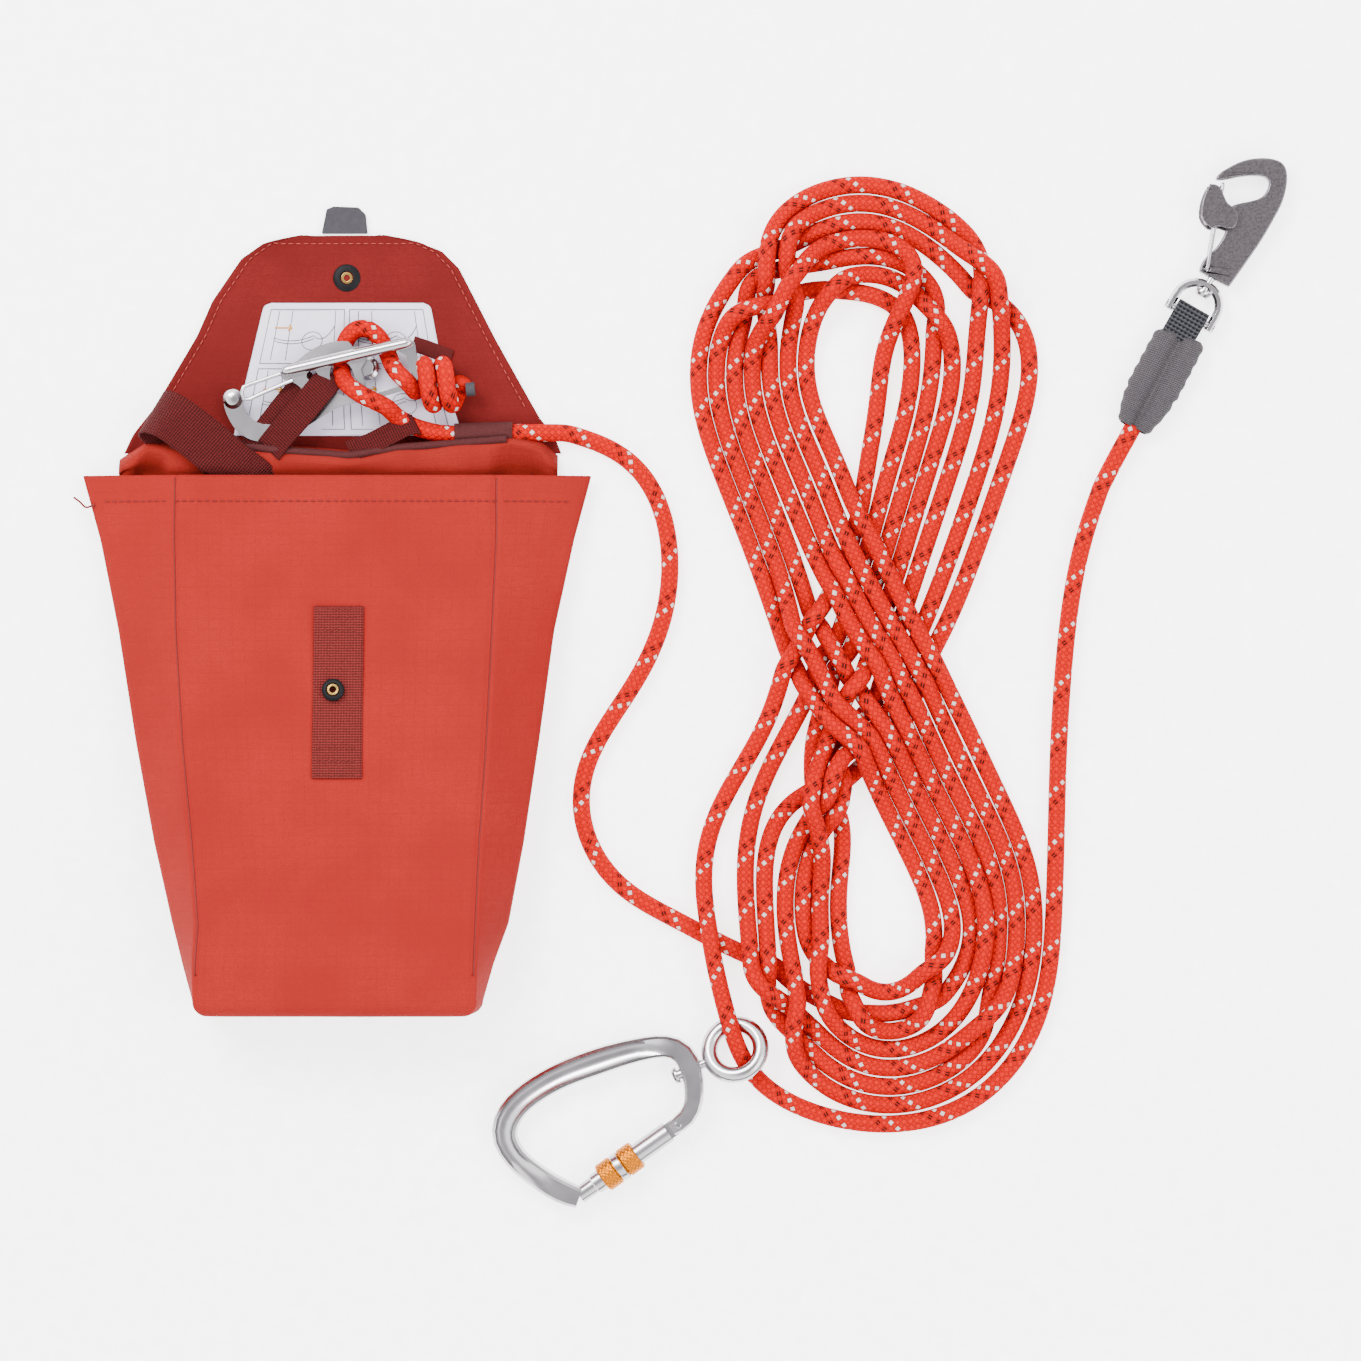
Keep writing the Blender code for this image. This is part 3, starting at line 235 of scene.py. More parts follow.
def settle(line, fixed, step, rounds):
    """Lets the rope down onto the floor and onto itself, staying near its plan seen from above."""
    p, plan = line.copy(), line.copy()
    hold = np.where(fixed, 0.0, 1.0)[:, None]
    near = int(14.0 / step)
    rest = np.linalg.norm(np.diff(plan[:, :2], axis=0), axis=1) * 1.002
    rest = np.where(fixed[1:], step, rest)
    for k in range(rounds):
        if k % 5 == 0:
            pairs = touching(p, ROPE_CLEAR + 2.0, near)
        drop, recall = (0.02, 0.002) if k > rounds * 0.8 else (0.12, 0.01)
        p[:, 2] -= hold[:, 0] * drop
        p[:, :2] += hold * recall * (plan[:, :2] - p[:, :2])
        ease_bends(p, hold, step)
        pull_to_length(p, hold, rest)
        for _ in range(3):
            push_apart(p, hold, pairs)
        p[:, 2] = np.maximum(p[:, 2], LOWEST)
    return p


def polished(line):
    """Takes small kinks out of the settled rope, and keeps its strands apart while doing so."""
    p = line.copy()
    held_end, rounds, spacing = 20, 160, 2.0
    hold = np.ones((len(p), 1))
    hold[:held_end], hold[-held_end:] = 0.0, 0.0
    for k in range(rounds):
        if k % 10 == 0:
            pairs = touching(p, ROPE_CLEAR + 1.0, 8)
        p[1:-1] += hold[1:-1] * 0.5 * (0.5 * (p[:-2] + p[2:]) - p[1:-1])
        ease_bends(p, hold, spacing)
        for _ in range(3):
            push_apart(p, hold, pairs)
        p[:, 2] = np.maximum(p[:, 2], LOWEST)
    return spline(p[::2], 1.4)


def rope_line():
    """The middle line of the whole rope. The leads stay as planned but for their inner ends."""
    line = spline(SACK_LEAD + planned_turns() + CLIP_LEAD, SETTLE_STEP)
    run = run_of(line)
    first = run_of(spline(SACK_LEAD[:-3], SETTLE_STEP))[-1]
    last = run_of(spline(CLIP_LEAD[4:], SETTLE_STEP))[-1]
    fixed = (run < first) | (run > run[-1] - last)
    settled = settle(line, fixed, SETTLE_STEP, 2200)
    return polished(spline(settled[::2], 2.0))


def link(name, verts, faces, coords, material, thickness=0.0):
    """A smooth mesh from points in mm, with one pair of coordinates for each face corner."""
    mesh = bpy.data.meshes.new(name)
    mesh.from_pydata([tuple(v) for v in np.asarray(verts, float) * MM], [], faces)
    layer = mesh.uv_layers.new(name="UVMap")
    layer.data.foreach_set("uv", np.array(coords, float).ravel())
    mesh.shade_smooth()
    mesh.materials.append(material)
    thing = bpy.data.objects.new(name, mesh)
    bpy.context.collection.objects.link(thing)
    if thickness:
        solid = thing.modifiers.new("thickness", "SOLIDIFY")
        solid.thickness, solid.offset = thickness * MM, 0.0
    return thing


def swept(name, line, radius, sides, material):
    """A round tube along the line, with its angle and run, in mm, as the two coordinates of its surface."""
    along = np.gradient(line, axis=0)
    along /= np.linalg.norm(along, axis=1, keepdims=True)
    up = np.zeros_like(line)
    up[0] = np.cross(along[0], (0.0, 0.0, 1.0)) + 1e-9
    for i in range(1, len(line)):
        up[i] = up[i - 1] - along[i] * np.dot(up[i - 1], along[i])
        up[i] /= np.linalg.norm(up[i])
    side = np.cross(along, up)
    angle = 2 * math.pi * np.arange(sides) / sides
    ring = np.cos(angle)[None, :, None] * up[:, None, :] + np.sin(angle)[None, :, None] * side[:, None, :]
    verts = (line[:, None, :] + radius * ring).reshape(-1, 3)
    count, run = len(line), run_of(line)
    faces, coords = [], []
    for i in range(count - 1):
        for k in range(sides):
            j = (k + 1) % sides
            faces.append((i * sides + k, i * sides + j, (i + 1) * sides + j, (i + 1) * sides + k))
            u, v = k / sides, (k + 1) / sides
            coords += [(u, run[i]), (v, run[i]), (v, run[i + 1]), (u, run[i + 1])]
    faces.append(tuple(reversed(range(sides))))
    faces.append(tuple(range((count - 1) * sides, count * sides)))
    coords += [(0.5, 0.0)] * sides + [(0.5, run[-1])] * sides
    return link(name, verts, faces, coords, material)


class Graph:
    """Builds a material's nodes from short calls; every value is a socket or a number."""

    def __init__(self, name):
        self.material = bpy.data.materials.new(name)
        self.material.use_nodes = True
        self.nodes, self.links = self.material.node_tree.nodes, self.material.node_tree.links
        self.shader = self.nodes["Principled BSDF"]

    def add(self, kind, inputs=(), out=0, **settings):
        """A new node's output; settings are its own properties."""
        node = self.nodes.new("ShaderNode" + kind)
        for key, value in settings.items():
            setattr(node, key, value)
        for key, value in dict(inputs).items():
            self.put(node.inputs[key], value)
        return node.outputs[out]

    def put(self, socket, value):
        if isinstance(value, bpy.types.NodeSocket):
            self.links.new(value, socket)
        else:
            socket.default_value = value

    def math(self, operation, a, b=0.0, c=0.0):
        return self.add("Math", {0: a, 1: b, 2: c}, operation=operation)

    def times(self, a, b):
        return self.math("MULTIPLY", a, b)

    def mix(self, factor, a, b):
        node = self.nodes.new("ShaderNodeMix")
        node.data_type = "RGBA"
        for index, value in ((0, factor), (6, a), (7, b)):
            self.put(node.inputs[index], value)
        return node.outputs[2]

    def span(self, value, low, high, to_low=0.0, to_high=1.0):
        """The value brought smoothly from low..high to to_low..to_high."""
        ends = {"Value": value, "From Min": low, "From Max": high, "To Min": to_low, "To Max": to_high}
        return self.add("MapRange", ends, interpolation_type="SMOOTHSTEP")

    def uv(self):
        """Across and along, from the piece's own coordinates."""
        split = self.nodes.new("ShaderNodeSeparateXYZ")
        self.links.new(self.add("UVMap", uv_map="UVMap"), split.inputs[0])
        return split.outputs[0], split.outputs[1]

    def noise(self, scale, detail=3.0, where=None):
        where = where or self.add("TexCoord", out=3)
        return self.add("TexNoise", {"Vector": where, "Scale": scale, "Detail": detail})

    def finish(self, **values):
        for key, value in values.items():
            self.put(self.shader.inputs[key.replace("_", " ")], value)
        return self.material

    def bump(self, height, distance, strength=1.0, under=None):
        inputs = {"Height": height, "Distance": distance, "Strength": strength}
        if under is not None:
            inputs["Normal"] = under
        return self.add("Bump", inputs)


def rope_material():
    """A braided sheath: yarns wind both ways, over and under, and two of those that wind left are marked."""
    g = Graph("rope_braid")
    turn, run = g.uv()
    around = g.times(turn, CARRIERS)
    along = g.times(run, CARRIERS / BRAID_PITCH)
    right = g.math("ADD", around, along)
    left = g.math("SUBTRACT", around, along)
    cell_r, cell_l = g.math("FLOOR", right), g.math("FLOOR", left)
    in_r = g.math("ABSOLUTE", g.math("SUBTRACT", g.math("FRACT", right), 0.5))
    in_l = g.math("ABSOLUTE", g.math("SUBTRACT", g.math("FRACT", left), 0.5))
    over = g.math("FLOORED_MODULO", g.math("ADD", cell_r, cell_l), 2.0)
    edge = g.math("MAXIMUM", in_r, in_l)
    pick = g.span(edge, 0.5, 0.28)

    yarn = g.math("FLOORED_MODULO", cell_l, float(CARRIERS))
    white = g.times(g.math("COMPARE", yarn, 0.0, 0.1), over)
    dark = g.times(g.math("COMPARE", yarn, 2.0, 0.1), over)
    seam = g.span(in_l, 0.03, 0.09)
    grain = g.noise(900.0)

    base = g.mix(over, (0.340, 0.0008, 0.0003, 1), (0.430, 0.0020, 0.0008, 1))
    base = g.mix(g.span(grain, 0.35, 0.65, 0.0, 0.35), base, (0.540, 0.0080, 0.0030, 1))
    base = g.mix(g.times(white, g.span(edge, 0.46, 0.42)), base, (0.54, 0.44, 0.41, 1))
    dark_yarn = g.times(g.times(dark, g.span(edge, 0.46, 0.40)), seam)
    base = g.mix(dark_yarn, base, (0.030, 0.0070, 0.0060, 1))
    # Darker towards the edges of every pick: painted shade in the grooves between the yarns.
    base = g.mix(g.span(pick, 0.0, 0.7, 0.34, 0.0), base, (0.150, 0.0005, 0.0005, 1))
    fibre = g.math("SINE", g.times(left, 38.0))
    height = g.math("ADD", pick, g.times(fibre, 0.06))
    braid = g.bump(height, 0.00040, 0.8)
    return g.finish(Base_Color=base, Roughness=0.8, Specular_IOR_Level=0.04, Normal=braid)


def plain(name, colour, roughness, grain=200.0, depth=0.00003, gloss=0.25):
    """One colour, a little worn in places, with a fine grain."""
    g = Graph(name)
    worn = (*(1.25 * c + 0.004 for c in colour), 1)
    return g.finish(
        Base_Color=g.mix(g.span(g.noise(grain * 0.6), 0.35, 0.75, 0.0, 0.5), (*colour, 1), worn),
        Roughness=roughness, Specular_IOR_Level=gloss, Normal=g.bump(g.noise(grain), depth, 0.5),
    )


def cloth_material(name, colour, shade):
    """Plain-woven cloth with a faint ripstop grid. Its coordinates are in mm of cloth."""
    g = Graph(name)
    across, along = g.uv()
    thread_wave, ripstop_gap = 8.5, 5.6  # radians a mm, and mm between the heavier threads
    waves = [g.math("SINE", g.times(way, thread_wave)) for way in (across, along)]
    threads = g.times(*waves)
    lines = []
    for way in (across, along):
        place = g.math("FRACT", g.math("DIVIDE", way, ripstop_gap))
        lines.append(g.span(g.math("ABSOLUTE", g.math("SUBTRACT", place, 0.5)), 0.07, 0.02))
    ripstop = g.math("MAXIMUM", *lines)
    blotch = g.noise(26.0, 2.0)
    fine = g.noise(1600.0, 2.0)
    base = g.mix(g.span(blotch, 0.2, 0.8), colour, shade)
    base = g.mix(g.times(g.span(fine, 0.35, 0.65), 0.75), base, shade)
    drawn_out = {0: g.times(across, 0.09), 1: g.times(along, 2.2)}
    streak = g.noise(1.0, 4.0, g.add("CombineXYZ", drawn_out))
    base = g.mix(g.times(g.span(streak, 0.42, 0.62), 0.45), base, shade)
    base = g.mix(g.times(ripstop, 0.35), base, shade)
    height = g.math("ADD", g.times(threads, 0.35), g.times(ripstop, 0.6))
    weave = g.bump(height, 0.00010, 0.7, g.bump(g.noise(38.0, 5.0), 0.0022, 0.35))
    return g.finish(Base_Color=base, Roughness=0.9, Specular_IOR_Level=0.08, Normal=weave)


def webbing_material(name, colour, shade, rib=1.35):
    """Webbing with ribs across it, rib mm apart, and columns along it. Its coordinates are in mm."""
    g = Graph(name)
    across, along = g.uv()
    columns = g.math("SINE", g.times(across, 2 * math.pi / (rib * 1.1)))
    run = g.times(along, 2 * math.pi / rib)
    ribs = g.math("SINE", g.math("ADD", run, g.times(columns, 0.5)))
    height = g.math("ADD", ribs, g.times(columns, 0.55))
    # Darker where the weave is low: painted shade in the hollows between the ribs and columns.
    base = g.mix(g.span(height, -1.2, 1.0), shade, colour)
    base = g.mix(g.times(g.span(g.noise(700.0), 0.35, 0.7), 0.25), base, shade)
    weave = g.bump(height, 0.00035, 0.8)
    return g.finish(Base_Color=base, Roughness=0.8, Specular_IOR_Level=0.12, Normal=weave)


def metal_material(name, colour, roughness, grain=60.0, depth=0.00002):
    """Metal whose colour and gloss vary a little where it is worn."""
    g = Graph(name)
    wear = g.noise(grain, 6.0)
    fine = g.noise(grain * 22, 2.0)
    worn = (*(0.84 * c for c in colour), 1)
    return g.finish(
        Base_Color=g.mix(g.span(wear, 0.3, 0.7, 0.0, 0.25), (*colour, 1), worn),
        Roughness=g.span(wear, 0.3, 0.7, roughness * 0.8, roughness * 1.25), Metallic=1.0,
        Normal=g.bump(fine, depth, 0.3),
    )


LOOKS = {name: make(name, *values) for name, make, *values in (
    ("cloth", cloth_material, (0.262, 0.0135, 0.0108, 1), (0.200, 0.0095, 0.0076, 1)),
    ("webbing", webbing_material, (0.088, 0.0072, 0.0070, 1), (0.024, 0.0022, 0.0026, 1)),
    ("faded_webbing", webbing_material, (0.180, 0.0190, 0.0170, 1), (0.055, 0.0062, 0.0062, 1)),
    ("grey_rubber", plain, (0.030, 0.028, 0.033), 0.62, 500.0, 0.00006, 0.15),
    ("grey_cloth", webbing_material, (0.098, 0.088, 0.096, 1), (0.036, 0.032, 0.037, 1), 1.1),
    ("black_webbing", webbing_material, (0.050, 0.050, 0.056, 1), (0.003, 0.003, 0.005, 1), 2.1),
    ("black_plastic", plain, (0.003, 0.003, 0.004), 0.5, 400.0, 0.00003, 0.10),
    ("paper", plain, (0.60, 0.57, 0.68), 0.6, 90.0),
    ("ink", plain, (0.035, 0.035, 0.045), 0.8, 200.0, 0.00003, 0.05),
    ("arrow_ink", plain, (0.50, 0.20, 0.01), 0.8, 200.0, 0.00003, 0.05),
    ("brass", metal_material, (0.34, 0.21, 0.06), 0.25),
    ("aluminium", metal_material, (0.43, 0.41, 0.43), 0.20),
    ("steel", metal_material, (0.47, 0.45, 0.47), 0.17),
    ("dark_metal", metal_material, (0.118, 0.105, 0.114), 0.30, 900.0, 0.00003),
    ("gold_anodised", metal_material, (0.44, 0.125, 0.001), 0.34),
    ("flap_cloth", cloth_material, (0.140, 0.0105, 0.0100, 1), (0.088, 0.0062, 0.0060, 1)),
    ("lining", cloth_material, (0.255, 0.0150, 0.0100, 1), (0.165, 0.0090, 0.0065, 1)),
    ("binding", plain, (0.040, 0.0040, 0.0045), 0.85, 1100.0, 0.0009),
    ("thread", plain, (0.110, 0.0085, 0.0080), 0.7, 900.0),
    ("pale_thread", plain, (0.270, 0.0320, 0.0260), 0.8, 900.0),
)}
LOOKS["rope"] = rope_material()


def stage_and_light():
    """A white floor that glows, a sky that is bright halfway up and dim overhead, and two soft lamps."""
    floor = bpy.data.meshes.new("floor")
    half = 4.0
    corners = [(-half, -half, 0), (half, -half, 0), (half, half, 0), (-half, half, 0)]
    floor.from_pydata(corners, [], [(0, 1, 2, 3)])
    ground = bpy.data.objects.new("floor", floor)
    bpy.context.collection.objects.link(ground)
    paint = plain("floor", (0.95, 0.95, 0.95), 0.9)
    glow = paint.node_tree.nodes["Principled BSDF"]
    glow.inputs["Emission Color"].default_value = (1, 1, 1, 1)
    glow.inputs["Emission Strength"].default_value = 2.6
    floor.materials.append(paint)
    world = bpy.data.worlds.new("studio")
    bpy.context.scene.world = world
    world.use_nodes = True
    sky, links = world.node_tree.nodes, world.node_tree.links
    kinds = ("TexCoord", "SeparateXYZ", "ValToRGB")
    where, split, ramp = (sky.new("ShaderNode" + kind) for kind in kinds)
    steps = ((0.0, 0.10), (0.30, 0.10), (0.46, 1.0), (0.86, 0.85), (0.985, 0.20))
    stops = ramp.color_ramp.elements
    while len(stops) < len(steps):
        stops.new(0.5)
    for stop, (height, bright) in zip(stops, steps):
        stop.position, stop.color = height, (bright, bright, bright, 1)
    links.new(where.outputs["Generated"], split.inputs[0])
    links.new(split.outputs[2], ramp.inputs[0])
    links.new(ramp.outputs[0], sky["Background"].inputs[0])
    sky["Background"].inputs[1].default_value = 3.9
    lamps = (("key", (-0.9, 1.1, 1.7), 62.0, 0.9), ("fill", (1.2, -0.5, 1.6), 24.0, 1.2))
    for name, place, power, size in lamps:
        light = bpy.data.lights.new(name, "AREA")
        light.energy, light.size = power, size
        lamp = bpy.data.objects.new(name, light)
        lamp.location = place
        lamp.rotation_euler = (-Vector(place)).to_track_quat("-Z", "Y").to_euler()
        bpy.context.collection.objects.link(lamp)


def camera():
    """Straight above the middle; the picture is width metres wide on the floor."""
    view = bpy.data.cameras.new("camera")
    height, width = 2.4, 0.7077
    view.lens = view.sensor_width * height / width
    eye = bpy.data.objects.new("camera", view)
    eye.location = (0, 0, height)
    bpy.context.collection.objects.link(eye)
    bpy.context.scene.camera = eye


def dress_frame():
    """Gives every CAD piece its look, and rounds off the edges of the hard ones a little."""
    slots = {part["node"]: part["material_slot"] for part in frame["record"]["subparts"]}
    soft = ("cloth", "paper", "rope", "webbing")
    wide = {"clip_body": 0.9, "carabiner_body": 0.5, "clip_thumb_tab": 0.6, "flap_pull_tab": 0.5}
    wide["tensioner_plate"] = 0.7
    narrow_faces = ("clip_body", "clip_thumb_tab")  # clamped to these, the edge would be too thin to see
    for name, thing in NODES.items():
        thing.data.materials.clear()
        thing.data.materials.append(LOOKS[slots[name]])
        thing.data.shade_smooth()
        if slots[name] in soft:
            thing.data.set_sharp_from_angle(angle=CREASE)
            continue
        joined = thing.modifiers.new("joined", "WELD")
        joined.merge_threshold = 0.01 * MM
        edge = thing.modifiers.new("soft_edge", "BEVEL")
        edge.width, edge.segments = wide.get(name, 0.3) * MM, 3
        edge.limit_method, edge.angle_limit = "ANGLE", CREASE
        edge.use_clamp_overlap = name not in narrow_faces
        weighted = thing.modifiers.new("weighted", "WEIGHTED_NORMAL")
        weighted.weight, weighted.mode = 100, "FACE_AREA"


def grid(name, rows, material, thickness=0.0, closed=False):
    """A surface through rows of points. Its coordinates are mm across and mm along."""
    rows = np.asarray(rows, float)
    count, width = rows.shape[:2]
    along = np.concatenate([[0], np.cumsum(np.linalg.norm(np.diff(rows[:, width // 2], axis=0), axis=1))])
    steps = np.linalg.norm(np.diff(rows[count // 2], axis=0), axis=1)
    across = np.concatenate([[0], np.cumsum(steps), [steps.sum() + steps.mean()]])
    faces, coords = [], []
    for i in range(count - 1):
        for k in range(width if closed else width - 1):
            j = (k + 1) % width
            faces.append((i * width + k, i * width + j, (i + 1) * width + j, (i + 1) * width + k))
            coords += [(across[k], along[i]), (across[k + 1], along[i])]
            coords += [(across[k + 1], along[i + 1]), (across[k], along[i + 1])]
    return link(name, rows.reshape(-1, 3), faces, coords, material, thickness)


def ribbon(name, path, across, width, thickness, material, step=1.2):
    """Webbing along a path. across gives the direction of its width at each point of the path."""
    both = spline([(*p, *a) for p, a in zip(path, across)], step)
    middle, way = both[:, :3], both[:, 3:]
    way = way / np.linalg.norm(way, axis=1, keepdims=True)
    spread = np.linspace(-0.5, 0.5, 15)
    rows = middle[:, None, :] + way[:, None, :] * (spread * width)[None, :, None]
    return grid(name, rows, material, thickness)


def wrinkle(x, y, seed=0.0):
    """Slow folds in cloth, about 1 mm each way."""
    return (
        0.50 * np.sin(x / 13.0 + y / 37.0 + seed) + 0.35 * np.sin(x / 7.5 - y / 19.0 + 2.1 + seed)
        + 0.30 * np.sin(y / 11.0 + x / 41.0 + 0.7 + seed)
    )


def stitches(name, routes, length=2.6, gap=1.3, radius=0.33, look="pale_thread"):
    """Runs of sewing thread: a short raised dash for each stitch."""
    verts, faces, coords = [], [], []
    for route in routes:
        line = spline(route, 0.65)
        run = run_of(line)
        for start in np.arange(gap, run[-1] - length, length + gap):
            at = [start + length * t for t in (0, 0.5, 1)]
            at = [np.array([np.interp(where, run, line[:, k]) for k in range(3)]) for where in at]
            heading = (at[2] - at[0]) / max(np.linalg.norm(at[2] - at[0]), 1e-6)
            side = np.cross(heading, (0, 0, 1))
            first = len(verts)
            for point, size, lift in zip(at, (0.5, 1.0, 0.5), (0.0, radius * 0.8, 0.0)):
                for k in range(6):
                    a = math.pi * k / 3
                    out = math.cos(a) * side + math.sin(a) * np.array([0, 0, 1.0])
                    verts.append(point + radius * size * out + (0, 0, lift))
            for ring in (0, 6):
                for k in range(6):
                    near, far = first + ring + k, first + ring + (k + 1) % 6
                    faces.append((near, far, far + 6, near + 6))
                    coords += [(0, 0), (1, 0), (1, 1), (0, 1)]
    return link(name, verts, faces, coords, LOOKS[look])


def values_at(table, y):
    """What a table's other columns say where its first one is y."""
    table = np.array(table, float)
    return [np.interp(y, table[:, 0], table[:, k]) for k in range(1, table.shape[1])]


def sack_section(y, inset=0.0):
    """One closed ring of the sack, from the back's left corner over the front and back again."""
    middle, fold, front, top, fold_top, back = values_at(SACK, max(y, SACK[0][0]))
    low, high = 1.0, top - 0.6
    corners = [(-back, low), (-fold, fold_top), (-front, high), (front, high), (fold, fold_top), (back, low)]
    points = []
    for (x0, z0), (x1, z1), n in zip(corners, corners[1:] + corners[:1], SIDE_POINTS):
        points += [(x0 + (x1 - x0) * t / n, z0 + (z1 - z0) * t / n) for t in range(n)]
    ring = np.array(points)
    for _ in range(2):
        ring = 0.5 * ring + 0.25 * (np.roll(ring, 1, axis=0) + np.roll(ring, -1, axis=0))
    waist = (low + high) / 2
    ring[:, 0] *= 1 - inset / front
    ring[:, 1] = waist + (ring[:, 1] - waist) * max(0.0, 1 - inset / (waist - low))
    x = ring[:, 0] + middle
    face = np.clip((ring[:, 1] - low) / (high - low), 0, 1)
    out = np.abs(ring[:, 0])
    inner = 1 - (out / fold) ** 4
    z = ring[:, 1] + 0.9 * face * wrinkle(x, y) + 1.3 * face * inner * math.cos((y + 30) / 90)
    near_foot = math.exp(-((y + 150) / 26) ** 2)
    z -= near_foot * 2.2 * face * np.exp(-(((out - front * 0.93) / 8) ** 2))
    seam = np.exp(-(((out - front + 1.2) / 1.3) ** 2)) * (face > 0.6)
    return np.stack([x, np.full(len(x), float(y)), np.maximum(z - 1.1 * seam, 0.9)], axis=1)


def make_sack():
    """The sack's tube with a rounded foot, closed by shrinking rings, and the stitched hem of its mouth."""
    foot, rounding, cap = SACK[0][0], 6.5, 6.9
    rows = [sack_section(y) for y in np.linspace(SACK[-1][0], foot, 150)]
    for k in range(1, 9):
        a = math.pi / 2 * k / 8
        ring = sack_section(foot, rounding * (1 - math.cos(a)))
        rows.append(ring - np.array([0, rounding * math.sin(a), 0]))
    half_height = (values_at(SACK, foot)[3] - 1.6) / 2
    for share in (0.42, 0.56, 0.70, 0.84, 1.0):
        rows.append(sack_section(foot, share * half_height) - np.array([0, cap, 0]))
    sack = grid("sack_cloth", rows, LOOKS["cloth"], 1.4, closed=True)
    hem, hem_y = [], 92.5
    for x0, x1 in ((-299, -264), (-262, -94), (-92, -57)):
        hem.append([(x, hem_y, front_height(x, hem_y) + 0.9) for x in np.linspace(x0, x1, 30)])
    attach(sack, "root")
    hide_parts("sack_body")
    thread = stitches("sack_hem_thread", hem, look="thread")
    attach(thread, "root")


def front_height(x, y):
    """Height of the sack's upper surface at a place."""
    upper = sack_section(y)[SIDE_POINTS[0]:sum(SIDE_POINTS[:4])]
    return float(np.interp(x, upper[:, 0], upper[:, 2]))


def flap_edges(y):
    """The flap's left and right edges at y. Past the last row of its tables they round its corners."""
    (straight, x0), (_, x1) = FLAP_LEFT[-1], FLAP_RIGHT[-1]
    if y <= straight:
        return values_at(FLAP_LEFT, y) + values_at(FLAP_RIGHT, y)
    rise = (y - straight) / (FLAP_TOP - straight)
    reach = 1 - 0.45 * rise**1.5
    return FLAP_MIDDLE + (x0 - FLAP_MIDDLE) * reach, FLAP_MIDDLE + (x1 - FLAP_MIDDLE) * reach


def flap_height(x, y):
    """Height of the flap's middle surface: wrinkled, and lower towards its hinge."""
    lift = 2.3 + 0.55 * (wrinkle(x, y, 1.7) + 1.0)
    return lift * np.clip((y - 112) / 14, 0.4, 1.0)


def make_flap():
    """The flap with a groove along its stitched hem, and the stitches, which stand 4.4 mm inside its edge."""
    rows, inside = [], 4.4
    ys, t = np.linspace(118, FLAP_TOP, 110), np.linspace(0, 1, 120)
    for y in ys:
        left, right = flap_edges(y)
        x = left + (right - left) * t
        edge = np.minimum(t, 1 - t) * (right - left)
        hem = 0.5 * np.exp(-((edge / 2.5) ** 2)) - 0.9 * np.exp(-(((edge - 4.2) / 1.2) ** 2))
        rows.append(np.stack([x, np.full(len(x), y), flap_height(x, y) + 0.6 * hem], axis=1))
    flap = grid("flap_cloth", rows, LOOKS["flap_cloth"], 1.1)
    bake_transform(flap)
    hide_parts("sack_flap", "flap_yoke")
    up = [(flap_edges(y)[0] + inside, y) for y in np.linspace(140, FLAP_TOP - 4.0, 40)]
    corner = up[-1][0] + 5
    over = [(x, FLAP_TOP - 4.2) for x in np.linspace(corner, 2 * FLAP_MIDDLE - up[-1][0] - 5, 14)]
    down = [(flap_edges(y)[1] - inside, y) for _, y in reversed(up)]
    thread = stitches("flap_thread", [[(x, y, flap_height(x, y) + 0.75) for x, y in up + over + down]])
    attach(thread, "flap")


def make_label():
    """The label on the flap, with its two upper corners rounded."""
    rows, radius, top = [], 3.5, LABEL[-1][0]
    for y in np.linspace(LABEL[0][0], top, 60):
        left, right = values_at(LABEL, y)
        past = max(0.0, (y - top + radius) / radius)
        corner = radius * max(0.0, 1 - math.sqrt(max(0.0, 1 - past**2)))
        x = np.linspace(left + corner, right - corner, 60)
        rows.append(np.stack([x, np.full(len(x), y), flap_height(x, y) + 1.0], axis=1))
    label = grid("label_sheet", rows, LOOKS["paper"], 0.25)
    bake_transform(label)
    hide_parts("instruction_label")


def make_main_rope():
    """The rope from the sack's mouth through the coil to the clip."""
    line = rope_line()
    rope = swept("rope_main", line, ROPE_RADIUS, 24, LOOKS["rope"])
    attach(rope, "root")
    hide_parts("rope_sack_lead", "rope_flaked_coil", "rope_clip_lead")


def make_collar():
    """The back wall of the mouth: lining that bulges up behind the front edge, with a bound upper edge."""
    x = np.linspace(-291, -64, 150)
    wall = [(-291, 111), (-276, 121), (-221, 120), (-172, 116), (-146, 120), (-88, 124.5), (-72, 121), (-64, 113)]
    back = values_at(wall, x)[0]
    ends = np.clip(np.minimum(x + 292, -63 - x) / 14, 0, 1) ** 0.5
    hollow = np.exp(-(((x + 83) / 13) ** 4)) + np.exp(-(((x + 275) / 8) ** 4))
    fold = wrinkle(x * 1.9, x * 0.6, 0.4)
    # From front to back: how far off the back line, how high, and how much lower in its two hollows.
    profile = [
        (97 - back, 3.0, 0.0), (103 - back, 9.0, 8.0), (109 - back, 13.5, 8.5), (-4.5, 15.5, 3.0),
        (-1.5, 15.0, 0.0), (0.6, 12.5, 0.0), (2.0, 8.0, 0.0), (3.4, 3.0, 0.0),
    ]
    rows = []
    for k, (dy, z, dip) in enumerate(profile):
        height = 2.0 + (z - 2.0) * ends - dip * hollow + (1.1 * fold if 0 < k < 5 else 0.0)
        rows.append(np.stack([x, back + dy, np.maximum(height, 2.0)], axis=1))
    rows = np.stack([resampled(one, 34) for one in np.swapaxes(rows, 0, 1)], axis=1)
    collar = grid("mouth_lining", rows, LOOKS["lining"], 1.0)
    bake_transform(collar)
    bound = [(a, b + 0.4, 2.0 + 12.8 * e) for a, b, e in zip(x[18:-16:6], back[18:-16:6], ends[18:-16:6])]
    edge = swept("mouth_binding_cord", spline(bound, 1.0), 1.9, 12, LOOKS["binding"])
    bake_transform(edge)
    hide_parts("mouth_binding")


